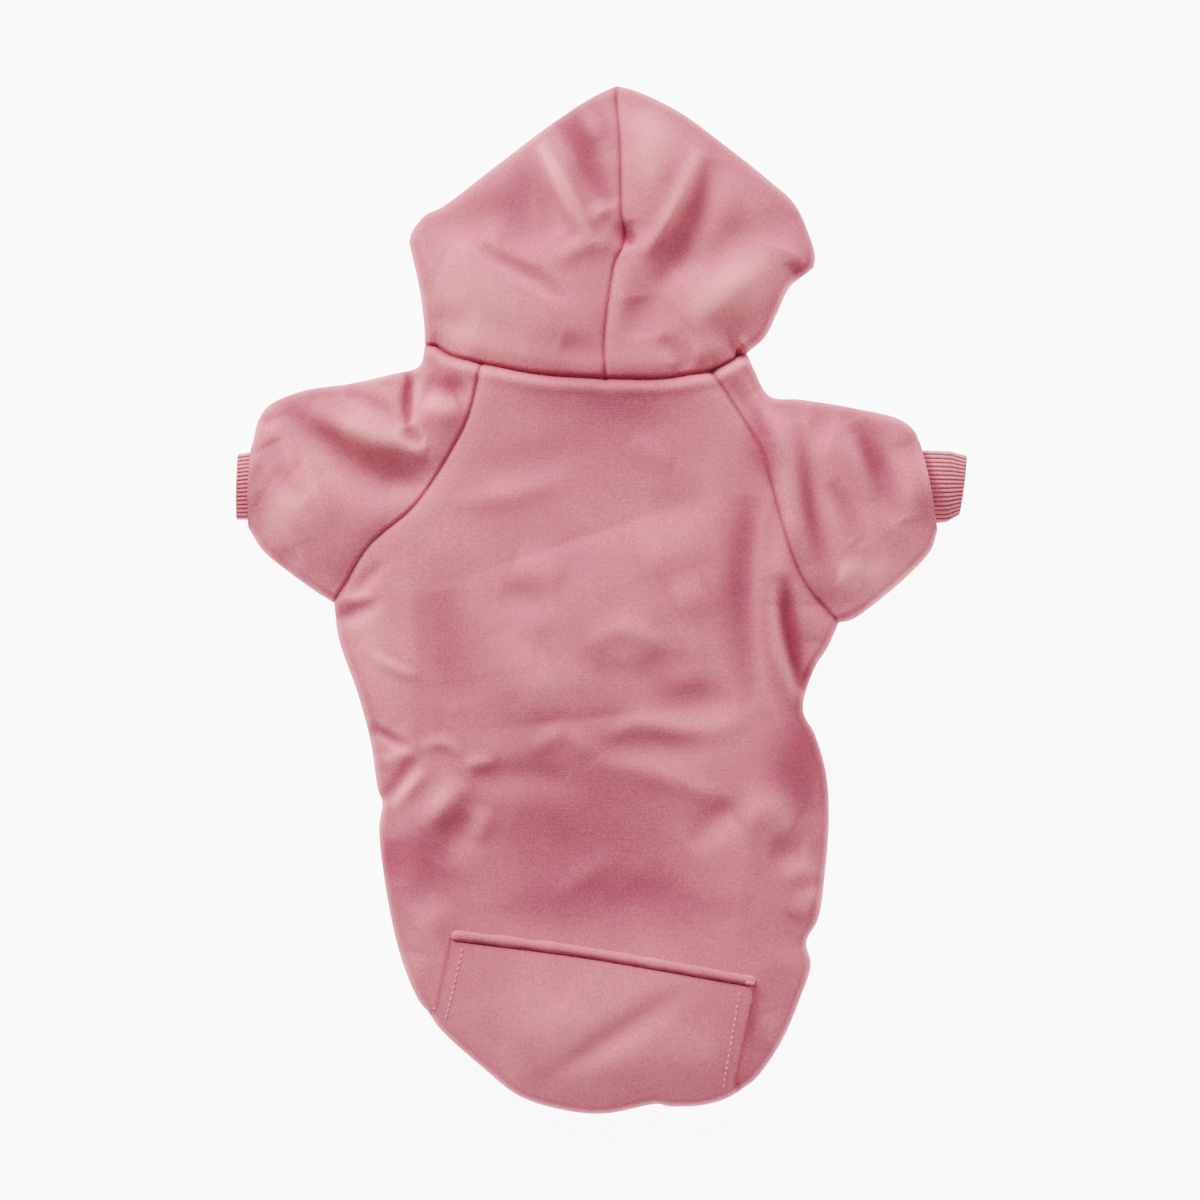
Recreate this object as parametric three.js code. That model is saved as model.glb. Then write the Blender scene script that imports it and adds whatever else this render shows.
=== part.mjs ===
// A small dog's hoodie, lying flat on its belly side with the hood spread above the neck.
// Millimetres. +X is to the right as it lies, +Y towards the hood, +Z up from the table.
// Plan points are worked out from the middle of the neck seam; the finished group is then
// centred over the middle of its own box.

import * as THREE from 'three';

// Overall sizes of the garment as it lies
const BODY_LENGTH = 330; // neck seam to the fold at the tail
const BODY_WIDTH = 204; // across the back, below the sleeves
const ARMHOLE_DEPTH = 119; // neck corner to armpit
const SLEEVE_LENGTH = 80; // neck corner to the mouth of a sleeve
const HOOD_LENGTH = 132; // neck seam to the peak
const HOOD_WIDTH = 183;
const LOFT = 16; // height of the two layers as they lie

// Cloth
const WALL = 2; // fleece-backed knit
const POCKET_WALL = 1.6;
const SEAM_GAP = 0.4; // between panels that are sewn edge to edge
const ROLL = 5; // how far a side rolls over, in plan
const SIDE_TURN = 18; // back cloth carried under, past the roll
const SEAM_DIP = 2.2; // how far a seam draws the cloth down
const SEAM_SPREAD = 5;
const EDGE_FALL = 0.34; // share of the loft that is lost towards an outer edge
const EDGE_SPREAD = 15;

// Cuffs, pocket and welt
const CUFF_LENGTH = 19;
const CUFF_WIDTH = 34;
const CUFF_WALL = 1.3;
const CUFF_HEIGHT = 5.2; // at the ends of the flattened tube
const CUFF_RISE = 3.2; // more than that in its middle
const CUFF_CLEARANCE = 0.9; // to the sleeve around it
const CUFF_RIBS = 36;
const RIB_DEPTH = 0.5;
const POCKET_GAP = 0.4;
const POCKET_PUFF = 1.4;
const WELT_WIDTH = 4.5;
const WELT_HEIGHT = 2.6;

// Steps of the cloth grids
const ARC_STEPS = 4;
const BIT_STEPS = 2;
const RAGLAN_STEPS = 7;
const FRONT_RAGLAN_STEPS = 5;
const TURN_STEPS = 2;
const SIDE_STEPS = 20;
const HEM_STEP = 13; // flank step where the belly ends
const BACK_STEPS = 16;
const FRONT_NECK_STEPS = 3;
const HOOD_STEPS = 12;
const SLEEVE_STEPS = 9;
const POCKET_STEPS = 6;

const PINK = new THREE.Color('#cc8190');
const FLEECE = { color: PINK, roughness: 0.95, metalness: 0 };
const RIB = { color: new THREE.Color('#c67c8a'), roughness: 0.9, metalness: 0 };

const UP = new THREE.Vector3(0, 0, 1);
const DOWN = new THREE.Vector3(0, 0, -1);

const plan = (x, y) => new THREE.Vector2(x, y);
const lifted = (p, z) => new THREE.Vector3(p.x, p.y, z);

// Rows of numbers with their column names
function table(names, rows) {
  const columns = names.split(' ');
  return rows.map((row) => Object.fromEntries(columns.map((name, i) => [name, row[i]])));
}

// Places on each part, as shares of its own sizes
const onBody = (across, down) => plan(across * BODY_WIDTH, -down * BODY_LENGTH);
const onHood = (across, up) => plan(across * HOOD_WIDTH, up * HOOD_LENGTH);

const SIDES = {
  left: {
    sign: -1,
    neck: onBody(-0.392, -0.049),
    armholeDrop: 0.976,
    armpitAcross: 0.593,
    armpitOut: plan(-0.55, -0.83).normalize(),
    flankEase: 0.86, // under 1, the flank's steps are longer near the armpit
  },
  right: {
    sign: 1,
    neck: onBody(0.321, -0.038),
    armholeDrop: 1.021,
    armpitAcross: 0.524,
    armpitOut: plan(0.7, -0.7).normalize(),
    flankEase: 1.22,
  },
};
for (const side of Object.values(SIDES)) {
  const drop = side.armholeDrop * ARMHOLE_DEPTH;
  side.armpit = plan(side.sign * side.armpitAcross * BODY_WIDTH, side.neck.y - drop);
  side.neckOut = plan(side.sign, 0.1).normalize();
}

const onSleeve = (side, out, down) => plan(
  side.neck.x + side.sign * out * SLEEVE_LENGTH,
  side.neck.y - down * ARMHOLE_DEPTH,
);
const onFlank = (side, out, down) => plan(
  side.sign * out * BODY_WIDTH,
  side.armpit.y - down * (BODY_LENGTH + side.armpit.y),
);
const onTail = (across, up) => plan(across * BODY_WIDTH, (up - 1) * BODY_LENGTH);

// Outline of the flanks below the armpits; down runs from armpit to tail
SIDES.left.flank = table('out down', [
  [0.582, 0.071], [0.540, 0.178], [0.511, 0.276], [0.496, 0.365], [0.486, 0.390], [0.493, 0.443],
  [0.478, 0.561], [0.447, 0.688], [0.405, 0.780], [0.383, 0.803],
]);
SIDES.right.flank = table('out down', [
  [0.500, 0.049], [0.469, 0.096], [0.445, 0.178], [0.471, 0.227], [0.496, 0.308], [0.502, 0.400],
  [0.493, 0.512], [0.478, 0.604], [0.452, 0.651], [0.462, 0.696], [0.438, 0.767], [0.394, 0.859],
  [0.339, 0.931], [0.306, 0.953],
]);
const TAIL = table('across up', [
  [-0.357, 0.115], [-0.268, 0.065], [-0.180, 0.023], [-0.070, 0.003], [0.008, 0],
  [0.123, 0.013], [0.145, 0.010], [0.217, 0.011], [0.273, 0.020],
]);

// Neck seam of the back, from one raglan to the other, and the raglans down to the armpits
const BACK_NECK = table('across down', [[-0.266, -0.022], [-0.136, -0.007], [0.008, -0.001]]);
const BACK_NECK_RIGHT = table('across down', [[0.008, -0.001], [0.129, -0.001], [0.240, -0.012]]);
SIDES.left.neckBit = table('across down', [[-0.334, -0.034]]);
SIDES.right.neckBit = table('across down', [[0.295, -0.032]]);
SIDES.left.raglan = table('across down', [
  [-0.290, 0.045], [-0.334, 0.100], [-0.412, 0.172], [-0.511, 0.225],
]);
SIDES.right.raglan = table('across down', [
  [0.284, 0.027], [0.350, 0.095], [0.374, 0.147], [0.405, 0.216], [0.450, 0.280],
]);

// Neck seam under the chin, and the raglans of the belly side
const CHIN = table('across down', [[0.008, 0.059]])[0];
const CHIN_SAG = 0.012; // how far the seam hangs below a straight line to the chin
SIDES.left.front = table('across down', [[-0.235, 0.018], [-0.375, 0.150]]);
SIDES.right.front = table('across down', [[0.215, 0.008], [0.385, 0.165]]);

// Sleeve outlines: upper from the neck corner, lower from the armpit, both to the mouth
SIDES.left.upper = table('out down', [
  [0.028, 0.076], [0.191, 0.110], [0.416, 0.144], [0.697, 0.174], [0.877, 0.227], [0.934, 0.280],
  [0.973, 0.382],
]);
SIDES.left.lower = table('out down', [[0.613, 0.934], [0.754, 0.866], [0.911, 0.779], [0.990, 0.696]]);
SIDES.right.upper = table('out down', [
  [0.045, 0.070], [0.129, 0.163], [0.298, 0.174], [0.579, 0.204], [0.861, 0.250], [0.945, 0.295],
  [0.967, 0.333],
]);
SIDES.right.lower = table('out down', [
  [0.591, 1.010], [0.720, 0.949], [0.917, 0.836], [1.040, 0.741], [1.069, 0.677],
]);

// Hood outlines: side from the neck corner, brow from there to the peak
SIDES.left.hoodSide = table('across up', [
  [-0.439, 0.194], [-0.449, 0.307], [-0.466, 0.416], [-0.476, 0.474],
]);
SIDES.left.brow = table('across up', [
  [-0.468, 0.512], [-0.434, 0.570], [-0.397, 0.594], [-0.250, 0.747], [-0.102, 0.901], [-0.016, 0.976],
]);
SIDES.right.hoodSide = table('across up', [
  [0.402, 0.150], [0.431, 0.229], [0.463, 0.321], [0.500, 0.362], [0.522, 0.388],
]);
SIDES.right.brow = table('across up', [
  [0.525, 0.430], [0.512, 0.495], [0.476, 0.604], [0.414, 0.683], [0.291, 0.819], [0.193, 0.918],
  [0.082, 0.993],
]);
const PEAK = onHood(0.035, 1.010);
const CROWN_SEAM = table('across up', [
  [0.006, 0.126], [0.018, 0.279], [0.033, 0.399], [0.055, 0.467], [0.048, 0.569], [0.045, 0.791],
]);

// Rim of the face opening, folded under, from the chin round to the peak
SIDES.left.rim = table('across up', [
  [-0.139, -0.050], [-0.274, 0.125], [-0.343, 0.280], [-0.360, 0.430], [-0.300, 0.530], [-0.150, 0.690],
]);
SIDES.right.rim = table('across up', [
  [0.156, -0.050], [0.279, 0.110], [0.352, 0.260], [0.385, 0.405], [0.340, 0.535], [0.218, 0.700],
]);
const RIM_PEAK = onHood(0.038, 0.830);

// Cuffs: each section across the tube, top and bottom as shares of the cuff's width
SIDES.left.cuff = {
  mid: 0.528,
  mouth: 0.981,
  shown: 0.32,
  sections: table('along top bottom lean', [
    [0, 0.42, -0.45, 0], [0.6, 0.43, -0.46, 0], [1, 0.40, -0.46, -0.05],
  ]),
};
SIDES.right.cuff = {
  mid: 0.507,
  mouth: 1.018,
  shown: 0.84,
  sections: table('along top bottom lean', [
    [0, 0.48, -0.46, -0.1], [0.3, 0.48, -0.47, -0.1], [0.65, 0.47, -0.46, 0.1], [1, 0.41, -0.36, 0.25],
  ]),
};

// Pocket corners under the welt
const POCKET_LEFT = onBody(-0.330, 0.753);
const POCKET_RIGHT = onBody(0.336, 0.816);
const WELT_BEND = onBody(-0.040, 0.776);

// Folds: each runs between two places, rises or sinks, and fades over its spread; both heights
// and spreads are shares of the loft
const FOLDS = [
  ...table('x0 y0 x1 y1 rise spread', [
    [-0.15, 0.83, 0.00, 0.50, 0.20, 0.45], [-0.09, 0.87, 0.03, 0.60, -0.26, 0.42],
    [-0.42, 0.53, -0.15, 0.74, -0.28, 0.60], [-0.30, 0.48, -0.03, 0.23, -0.20, 0.45],
    [-0.37, 0.28, -0.10, 0.11, 0.28, 0.90], [0.06, 0.48, 0.06, 0.44, -0.40, 0.40],
    [0.13, 0.57, 0.08, 0.47, 0.18, 0.40], [0.15, 0.89, 0.22, 0.62, 0.28, 1.00],
    [0.23, 0.72, 0.12, 0.31, -0.22, 0.50], [0.40, 0.62, 0.26, 0.53, -0.26, 0.55],
    [0.17, 0.31, 0.35, 0.45, 0.20, 0.60], [0.29, 0.24, 0.33, 0.20, 0.22, 1.10],
  ]).map((row) => ({ ...row, from: onHood(row.x0, row.y0), to: onHood(row.x1, row.y1) })),
  ...table('x0 y0 x1 y1 rise spread', [
    [-0.08, 0.30, 0.00, 0.50, 0.30, 3.80], [-0.10, 0.68, 0.12, 0.72, 0.18, 3.40],
    [-0.33, 0.16, -0.09, 0.13, 0.10, 0.65], [0.07, 0.08, 0.13, 0.12, 0.10, 0.55],
    [0.34, 0.28, 0.43, 0.44, 0.30, 0.50], [0.43, 0.31, 0.43, 0.42, -0.42, 0.45],
    [0.33, 0.16, 0.33, 0.42, -0.20, 0.60], [-0.51, 0.47, -0.43, 0.50, -0.20, 0.40],
    [-0.49, 0.53, -0.41, 0.50, 0.15, 0.40], [-0.07, 0.43, 0.09, 0.46, 0.16, 0.45],
    [-0.14, 0.50, 0.00, 0.51, 0.14, 0.45], [0.35, 0.58, 0.39, 0.59, 0.20, 0.75],
    [-0.30, 0.43, -0.29, 0.44, -0.14, 0.75], [-0.59, 0.32, -0.51, 0.30, -0.16, 0.40],
  ]).map((row) => ({ ...row, from: onBody(row.x0, row.y0), to: onBody(row.x1, row.y1) })),
  ...table('x0 y0 x1 y1 rise spread', [
    [0.08, 0.10, 0.08, 0.30, -0.36, 0.35], [0.00, 0.37, 0.70, 0.22, 0.24, 0.55],
    [0.70, 0.32, -0.03, 0.50, -0.30, 0.55], [-0.03, 0.10, -0.20, 0.13, -0.18, 0.40],
    [-0.09, 0.24, -0.10, 0.26, 0.20, 0.60], [0.50, 0.72, 0.60, 0.68, 0.26, 1.10],
  ]).map((row) => ({
    ...row, from: onSleeve(SIDES.left, row.x0, row.y0), to: onSleeve(SIDES.left, row.x1, row.y1),
  })),
  ...table('x0 y0 x1 y1 rise spread', [
    [0.05, 0.20, 0.44, 0.80, 0.20, 0.50], [0.31, 0.48, 0.34, 0.78, -0.18, 0.45],
    [0.50, 0.51, 0.66, 0.76, -0.22, 0.45], [0.69, 0.36, 0.82, 0.56, -0.24, 0.45],
    [0.62, 0.28, 0.66, 0.29, 0.12, 0.60], [0.76, 0.80, 0.84, 0.74, 0.18, 0.60],
  ]).map((row) => ({
    ...row, from: onSleeve(SIDES.right, row.x0, row.y0), to: onSleeve(SIDES.right, row.x1, row.y1),
  })),
];

// A smooth plan curve through a few points, cut into steps, which are even with an ease of 1
function stepped(points, steps, ease = 1) {
  const through = points.map((p) => new THREE.Vector3(p.x, p.y, 0));
  const curve = new THREE.CatmullRomCurve3(through, false, 'centripetal');
  return Array.from({ length: steps + 1 }, (_, k) => {
    const p = curve.getPointAt((k / steps) ** ease);
    return plan(p.x, p.y);
  });
}

const joined = (first, ...others) => others.reduce((all, next) => [...all, ...next.slice(1)], first);

// Unit normals of a run of plan points; turn is 1 where outside lies to the right of travel
function normals(points, turn) {
  return points.map((_, k) => {
    const before = points[Math.max(k - 1, 0)];
    const after = points[Math.min(k + 1, points.length - 1)];
    const along = after.clone().sub(before).normalize();
    return plan(along.y * turn, -along.x * turn);
  });
}

function eased(directions) {
  return directions.map((d, k) => {
    const before = directions[Math.max(k - 1, 0)];
    const after = directions[Math.min(k + 1, directions.length - 1)];
    return d.clone().multiplyScalar(2).add(before).add(after).normalize();
  });
}

// An outline that rolls under: its points, the way out at each, and where the roll starts
function rolledEdge(outline, turn, firstOut, lastOut) {
  const out = normals(outline, turn);
  out[0] = firstOut;
  out[out.length - 1] = lastOut;
  const soft = eased(out);
  soft[0] = firstOut;
  soft[soft.length - 1] = lastOut;
  const inset = outline.map((p, k) => p.clone().addScaledVector(soft[k], -ROLL));
  return { outline, out: soft, inset };
}

// Rows of plan points filled in between four edges
function filled(first, last, left, right) {
  const rows = left.length - 1;
  const columns = first.length - 1;
  return left.map((_, i) => first.map((__, j) => {
    const v = i / rows;
    const u = j / columns;
    return plan(0, 0)
      .addScaledVector(first[j], 1 - v)
      .addScaledVector(last[j], v)
      .addScaledVector(left[i], 1 - u)
      .addScaledVector(right[i], u)
      .addScaledVector(first[0], -(1 - u) * (1 - v))
      .addScaledVector(first[columns], -u * (1 - v))
      .addScaledVector(last[0], -(1 - u) * v)
      .addScaledVector(last[columns], -u * v);
  }));
}

function distanceToSegment(p, from, to) {
  const along = to.clone().sub(from);
  const share = p.clone().sub(from).dot(along) / Math.max(along.lengthSq(), 1e-6);
  return p.distanceTo(from.clone().addScaledVector(along, THREE.MathUtils.clamp(share, 0, 1)));
}

function distanceToRun(p, run) {
  return Math.min(...run.slice(1).map((to, k) => distanceToSegment(p, run[k], to)));
}

// Shared seams and edges
const pointsOf = (rows, place) => rows.map(({ across, down }) => place(across, down));
const neckCentre = onBody(BACK_NECK[2].across, BACK_NECK[2].down);
const backNeckLeft = stepped(pointsOf(BACK_NECK, onBody), BACK_STEPS / 2);
const backNeckRight = stepped(pointsOf(BACK_NECK_RIGHT, onBody), BACK_STEPS / 2);
const backNeck = joined(backNeckLeft, backNeckRight);
SIDES.left.raglanTop = backNeck[0];
SIDES.right.raglanTop = backNeck[backNeck.length - 1];
const chin = onBody(CHIN.across, CHIN.down);

const flankOutline = (side) => stepped(
  [side.armpit, ...side.flank.map(({ out, down }) => onFlank(side, out, down))],
  SIDE_STEPS,
  side.flankEase,
);
const leftFlank = flankOutline(SIDES.left);
const rightFlank = flankOutline(SIDES.right);
const tailOutline = stepped(
  [leftFlank[SIDE_STEPS], ...TAIL.map(({ across, up }) => onTail(across, up)), rightFlank[SIDE_STEPS]],
  BACK_STEPS,
);
const bodyEdge = rolledEdge(
  joined(leftFlank, tailOutline, [...rightFlank].reverse()),
  1,
  SIDES.left.armpitOut,
  SIDES.right.armpitOut,
);
const LAST = bodyEdge.outline.length - 1;
const softOut = [1, 2, 3, 4].reduce((directions) => eased(directions), bodyEdge.out);
const turnEnd = bodyEdge.inset.map((p, k) => p.clone().addScaledVector(softOut[k], -SIDE_TURN));

for (const side of Object.values(SIDES)) {
  const edgeEnd = side.sign < 0 ? 0 : LAST;
  side.neckInset = side.neck.clone().addScaledVector(side.neckOut, -ROLL);
  side.armpitInset = bodyEdge.inset[edgeEnd];
  side.turnEnd = turnEnd[edgeEnd];
  side.backBit = stepped([side.neckInset, ...pointsOf(side.neckBit, onBody), side.raglanTop], BIT_STEPS);
  side.backRaglan = stepped(
    [side.raglanTop, ...pointsOf(side.raglan, onBody), side.armpitInset],
    RAGLAN_STEPS,
  );
  const [chinSide, frontMiddle] = pointsOf(side.front, onBody);
  side.frontBit = stepped([side.neckInset, chinSide], BIT_STEPS);
  side.frontRaglan = stepped([chinSide, frontMiddle, side.turnEnd], FRONT_RAGLAN_STEPS);
  side.underArm = stepped([side.turnEnd, side.armpitInset], TURN_STEPS);
  const sagging = chinSide.clone().lerp(chin, 0.5).add(plan(0, -CHIN_SAG * BODY_LENGTH));
  side.frontNeck = stepped([chinSide, sagging, chin], FRONT_NECK_STEPS);
}

for (const side of Object.values(SIDES)) {
  const upperPoints = side.upper.map(({ out, down }) => onSleeve(side, out, down));
  const lowerPoints = side.lower.map(({ out, down }) => onSleeve(side, out, down));
  const mouthTop = upperPoints[upperPoints.length - 1];
  const mouthFoot = lowerPoints[lowerPoints.length - 1];
  const across = mouthTop.clone().sub(mouthFoot).normalize();
  side.upperEdge = rolledEdge(
    stepped([side.neck, ...upperPoints], SLEEVE_STEPS), -side.sign, side.neckOut, across);
  side.lowerEdge = rolledEdge(
    stepped([side.armpit, ...lowerPoints], SLEEVE_STEPS), side.sign, side.armpitOut, across.clone().negate());
  const sideOutline = stepped(
    [side.neck, ...side.hoodSide.map(({ across: x, up }) => onHood(x, up))], HOOD_STEPS);
  const browOutline = stepped(
    [sideOutline[HOOD_STEPS], ...side.brow.map(({ across: x, up }) => onHood(x, up)), PEAK],
    BIT_STEPS + BACK_STEPS / 2);
  side.hoodEdge = rolledEdge(joined(sideOutline, browOutline), side.sign, side.neckOut, plan(0, 1));
}

const peakInset = PEAK.clone().add(plan(0, -ROLL));
const crownSeam = stepped(
  [neckCentre, ...CROWN_SEAM.map(({ across, up }) => onHood(across, up)), peakInset],
  HOOD_STEPS,
);

// Height of the cloth on top, everywhere
const SEAMS = [
  backNeck, crownSeam,
  ...Object.values(SIDES).flatMap((side) => [side.backBit, side.backRaglan]),
];
const EDGES = [
  bodyEdge.outline,
  ...Object.values(SIDES).flatMap((side) => [
    side.upperEdge.outline, side.lowerEdge.outline, side.hoodEdge.outline,
  ]),
];
const fade = (away) => Math.exp(-away * away);
const nearestTo = (p, runs) => Math.min(...runs.map((run) => distanceToRun(p, run)));

function heightAt(p) {
  const folds = FOLDS.reduce((sum, { from, to, rise, spread }) => {
    return sum + rise * LOFT * fade(distanceToSegment(p, from, to) / (spread * LOFT));
  }, 0);
  const edgeFall = EDGE_FALL * fade(nearestTo(p, EDGES) / EDGE_SPREAD);
  return (LOFT + folds) * (1 - edgeFall) - SEAM_DIP * fade(nearestTo(p, SEAMS) / SEAM_SPREAD);
}

// A cloth of even thickness: grids of outer points, each with the way to its inner face
class Sheet {
  constructor(wall) {
    this.wall = wall;
    this.outer = [];
    this.inward = [];
    this.quads = [];
  }

  add(point, inward) {
    this.outer.push(point);
    this.inward.push(inward);
    return this.outer.length - 1;
  }

  onTop(p, rise = 0) {
    return this.add(lifted(p, heightAt(p) + rise), DOWN);
  }

  // Faces between two rows; seen from outside, the far row lies left of the near row's travel
  span(near, far) {
    for (let m = 0; m + 1 < near.length; m += 1) {
      this.quads.push([near[m], near[m + 1], far[m + 1], far[m]]);
    }
  }

  // One strip that leaves a top point, rolls under and runs on along the table
  under(top, edgePoint, out, { reach, low, high }, inner) {
    const row = [top];
    for (let m = 1; m <= ARC_STEPS; m += 1) {
      const angle = (Math.PI * m) / ARC_STEPS;
      const half = (high - low) / 2;
      const flat = edgePoint.clone().addScaledVector(out, reach * Math.sin(angle));
      const point = lifted(flat, low + half + half * Math.cos(angle));
      const normal = new THREE.Vector3(
        (out.x * Math.sin(angle)) / reach,
        (out.y * Math.sin(angle)) / reach,
        Math.cos(angle) / half,
      ).normalize();
      row.push(this.add(point, normal.negate()));
    }
    for (const p of inner.slice(1)) {
      row.push(this.add(lifted(p, low), UP));
    }
    return row;
  }

  openEdges() {
    const key = (a, b) => `${a}>${b}`;
    const edges = new Map();
    for (const quad of this.quads) {
      quad.forEach((a, m) => edges.set(key(a, quad[(m + 1) % 4]), [a, quad[(m + 1) % 4], quad]));
    }
    return [...edges.values()].filter(([a, b]) => !edges.has(key(b, a)));
  }

  // Draws every open edge back, so that sewn edges face each other across the seam gap
  trimmed(pull = SEAM_GAP / 2) {
    const inwardOf = new Map();
    for (const [a, b, quad] of this.openEdges()) {
      const [p, q, r, s] = quad.map((v) => this.outer[v]);
      const normal = r.clone().sub(p).cross(s.clone().sub(q)).normalize();
      const along = this.outer[b].clone().sub(this.outer[a]).normalize();
      const back = normal.cross(along).normalize();
      for (const v of [a, b]) {
        inwardOf.set(v, [...(inwardOf.get(v) ?? []), back]);
      }
    }
    for (const [v, [one, two]] of inwardOf) {
      const shift = one.clone().add(two).multiplyScalar(pull / (1 + one.dot(two)));
      this.outer[v] = this.outer[v].clone().add(shift);
    }
    return this;
  }

  geometry() {
    const count = this.outer.length;
    const inner = this.outer.map((p, k) => p.clone().addScaledVector(this.inward[k], this.wall));
    const index = [];
    for (const [a, b, c, d] of this.quads) {
      index.push(a, b, c, a, c, d);
      index.push(a + count, c + count, b + count, a + count, d + count, c + count);
    }
    for (const [a, b] of this.openEdges()) {
      index.push(b, a, a + count, b, a + count, b + count);
    }
    const geometry = new THREE.BufferGeometry();
    geometry.setFromPoints([...this.outer, ...inner]);
    geometry.setIndex(index);
    geometry.computeVertexNormals();
    return geometry;
  }
}

const hoodie = new THREE.Group();

function addPiece(name, geometry, finish) {
  const mesh = new THREE.Mesh(geometry, new THREE.MeshStandardMaterial(finish));
  mesh.name = name;
  hoodie.add(mesh);
}

// The turned edge beneath, from where the roll ends to its cut edge
const turnedRun = (k) => stepped([bodyEdge.inset[k], turnEnd[k]], TURN_STEPS);

const POCKET_STACK = POCKET_WALL + POCKET_GAP;
const inTail = (k) => k >= SIDE_STEPS && k <= SIDE_STEPS + BACK_STEPS;

// Back: raglan to raglan, then over both flanks and the tail to the turned edge below
function backPanel() {
  const sheet = new Sheet(WALL);
  const left = joined(SIDES.left.backRaglan, bodyEdge.inset.slice(0, SIDE_STEPS + 1));
  const right = joined(SIDES.right.backRaglan, bodyEdge.inset.slice(LAST - SIDE_STEPS).reverse());
  const tail = bodyEdge.inset.slice(SIDE_STEPS, SIDE_STEPS + BACK_STEPS + 1);
  const rows = filled(backNeck, tail, left, right).map((row) => row.map((p) => sheet.onTop(p)));
  rows.slice(1).forEach((row, i) => sheet.span(row, rows[i]));

  const tops = [
    ...rows.slice(RAGLAN_STEPS).map((row) => row[0]),
    ...rows[rows.length - 1].slice(1, -1),
    ...rows.slice(RAGLAN_STEPS).map((row) => row[BACK_STEPS]).reverse(),
  ];
  const strips = tops.map((top, k) => {
    const edge = bodyEdge.inset[k];
    const step = inTail(k) ? POCKET_STACK : 0;
    const sizes = { reach: ROLL - step, low: step, high: sheet.outer[top].z };
    return sheet.under(top, edge, bodyEdge.out[k], sizes, turnedRun(k));
  });
  strips.slice(1).forEach((strip, k) => sheet.span(strips[k], strip));
  addPiece('back_panel', sheet.trimmed().geometry(), FLEECE);
}

// Belly: flat on the table, between the turned edges of the back
function bellyPanel() {
  const sheet = new Sheet(WALL);
  const left = joined(SIDES.left.frontRaglan, turnEnd.slice(0, HEM_STEP + 1));
  const right = joined(SIDES.right.frontRaglan, turnEnd.slice(LAST - HEM_STEP).reverse());
  const neck = joined(SIDES.left.frontNeck, [...SIDES.right.frontNeck].reverse());
  const hem = stepped([left[left.length - 1], right[right.length - 1]], neck.length - 1);
  const rows = filled(neck, hem, left, right)
    .map((row) => row.map((p) => sheet.add(lifted(p, 0), UP)));
  rows.slice(1).forEach((row, i) => sheet.span(rows[i], row));
  addPiece('belly_panel', sheet.trimmed().geometry(), FLEECE);
}

// Sleeve: a tube from the neck bit and the raglans to its mouth
function sleeve(name, side) {
  const sheet = new Sheet(WALL);
  const { upperEdge: upper, lowerEdge: lower } = side;
  const top = joined(side.backBit, side.backRaglan);
  const bottom = joined(side.frontBit, side.frontRaglan, side.underArm);
  const mouth = stepped([upper.inset[SLEEVE_STEPS], lower.inset[SLEEVE_STEPS]], top.length - 1);
  const above = filled(top, mouth, upper.inset, lower.inset);
  const below = filled(bottom, mouth, upper.inset, lower.inset);
  const loops = above.map((row, s) => {
    const tops = row.map((p) => sheet.onTop(p));
    const [first, last] = [tops[0], tops[tops.length - 1]];
    const shape = (v) => ({ reach: ROLL, low: 0, high: sheet.outer[v].z });
    const lowerArc = sheet.under(last, lower.inset[s], lower.out[s], shape(last), []);
    const upperArc = sheet.under(first, upper.inset[s], upper.out[s], shape(first), []);
    const bottoms = below[s].slice(1, -1).map((p) => sheet.add(lifted(p, 0), UP)).reverse();
    return [...tops, ...lowerArc.slice(1), ...bottoms, ...upperArc.slice(1).reverse(), first];
  });
  loops.slice(1).forEach((loop, s) => (
    side.sign < 0 ? sheet.span(loop, loops[s]) : sheet.span(loops[s], loop)));
  addPiece(name, sheet.trimmed().geometry(), FLEECE);
}

// Hood half: crown seam to the outline, over the roll, and under as far as the rim
function hoodHalf(name, side, neckHalf) {
  const sheet = new Sheet(WALL);
  const edge = side.hoodEdge;
  const neck = joined(side.backBit, neckHalf);
  const last = edge.outline.length - 1;
  const rows = filled(neck, edge.inset.slice(HOOD_STEPS), edge.inset.slice(0, HOOD_STEPS + 1), crownSeam)
    .map((row) => row.map((p) => sheet.onTop(p)));
  rows.slice(1).forEach((row, i) => (side.sign < 0 ? sheet.span(rows[i], row) : sheet.span(row, rows[i])));

  const rim = stepped([chin, ...side.rim.map(({ across, up }) => onHood(across, up)), RIM_PEAK], last);
  const front = joined(side.frontBit, side.frontNeck);
  const peakRun = stepped([peakInset, RIM_PEAK], front.length - 1);
  const flats = filled(front, peakRun, edge.inset, rim);
  const tops = [...rows.map((row) => row[0]), ...rows[HOOD_STEPS].slice(1)];
  const strips = tops.map((top, k) => {
    const sizes = { reach: ROLL, low: 0, high: sheet.outer[top].z };
    return sheet.under(top, edge.inset[k], edge.out[k], sizes, flats[k]);
  });
  strips.slice(1).forEach((strip, k) => (
    side.sign < 0 ? sheet.span(strip, strips[k]) : sheet.span(strips[k], strip)));
  addPiece(name, sheet.trimmed().geometry(), FLEECE);
}

// Cuff: a ribbed tube, tucked into the mouth of its sleeve
function cuff(name, side) {
  const { mid, mouth, shown, sections } = side.cuff;
  const sheet = new Sheet(CUFF_WALL);
  const mouthPoint = onSleeve(side, mouth, mid);
  const loops = sections.map(({ along, top, bottom, lean }) => {
    const out = (along - 1 + shown) * CUFF_LENGTH;
    const at = (share) => plan(
      mouthPoint.x + side.sign * (out + lean * share * CUFF_WIDTH / 2),
      mouthPoint.y + share * CUFF_WIDTH,
    );
    return ribbedLoop(sheet, at(top), at(bottom), side.sign);
  });
  loops.slice(1).forEach((loop, s) => sheet.span(loops[s], loop));
  addPiece(name, sheet.trimmed().geometry(), RIB);
}

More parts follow.
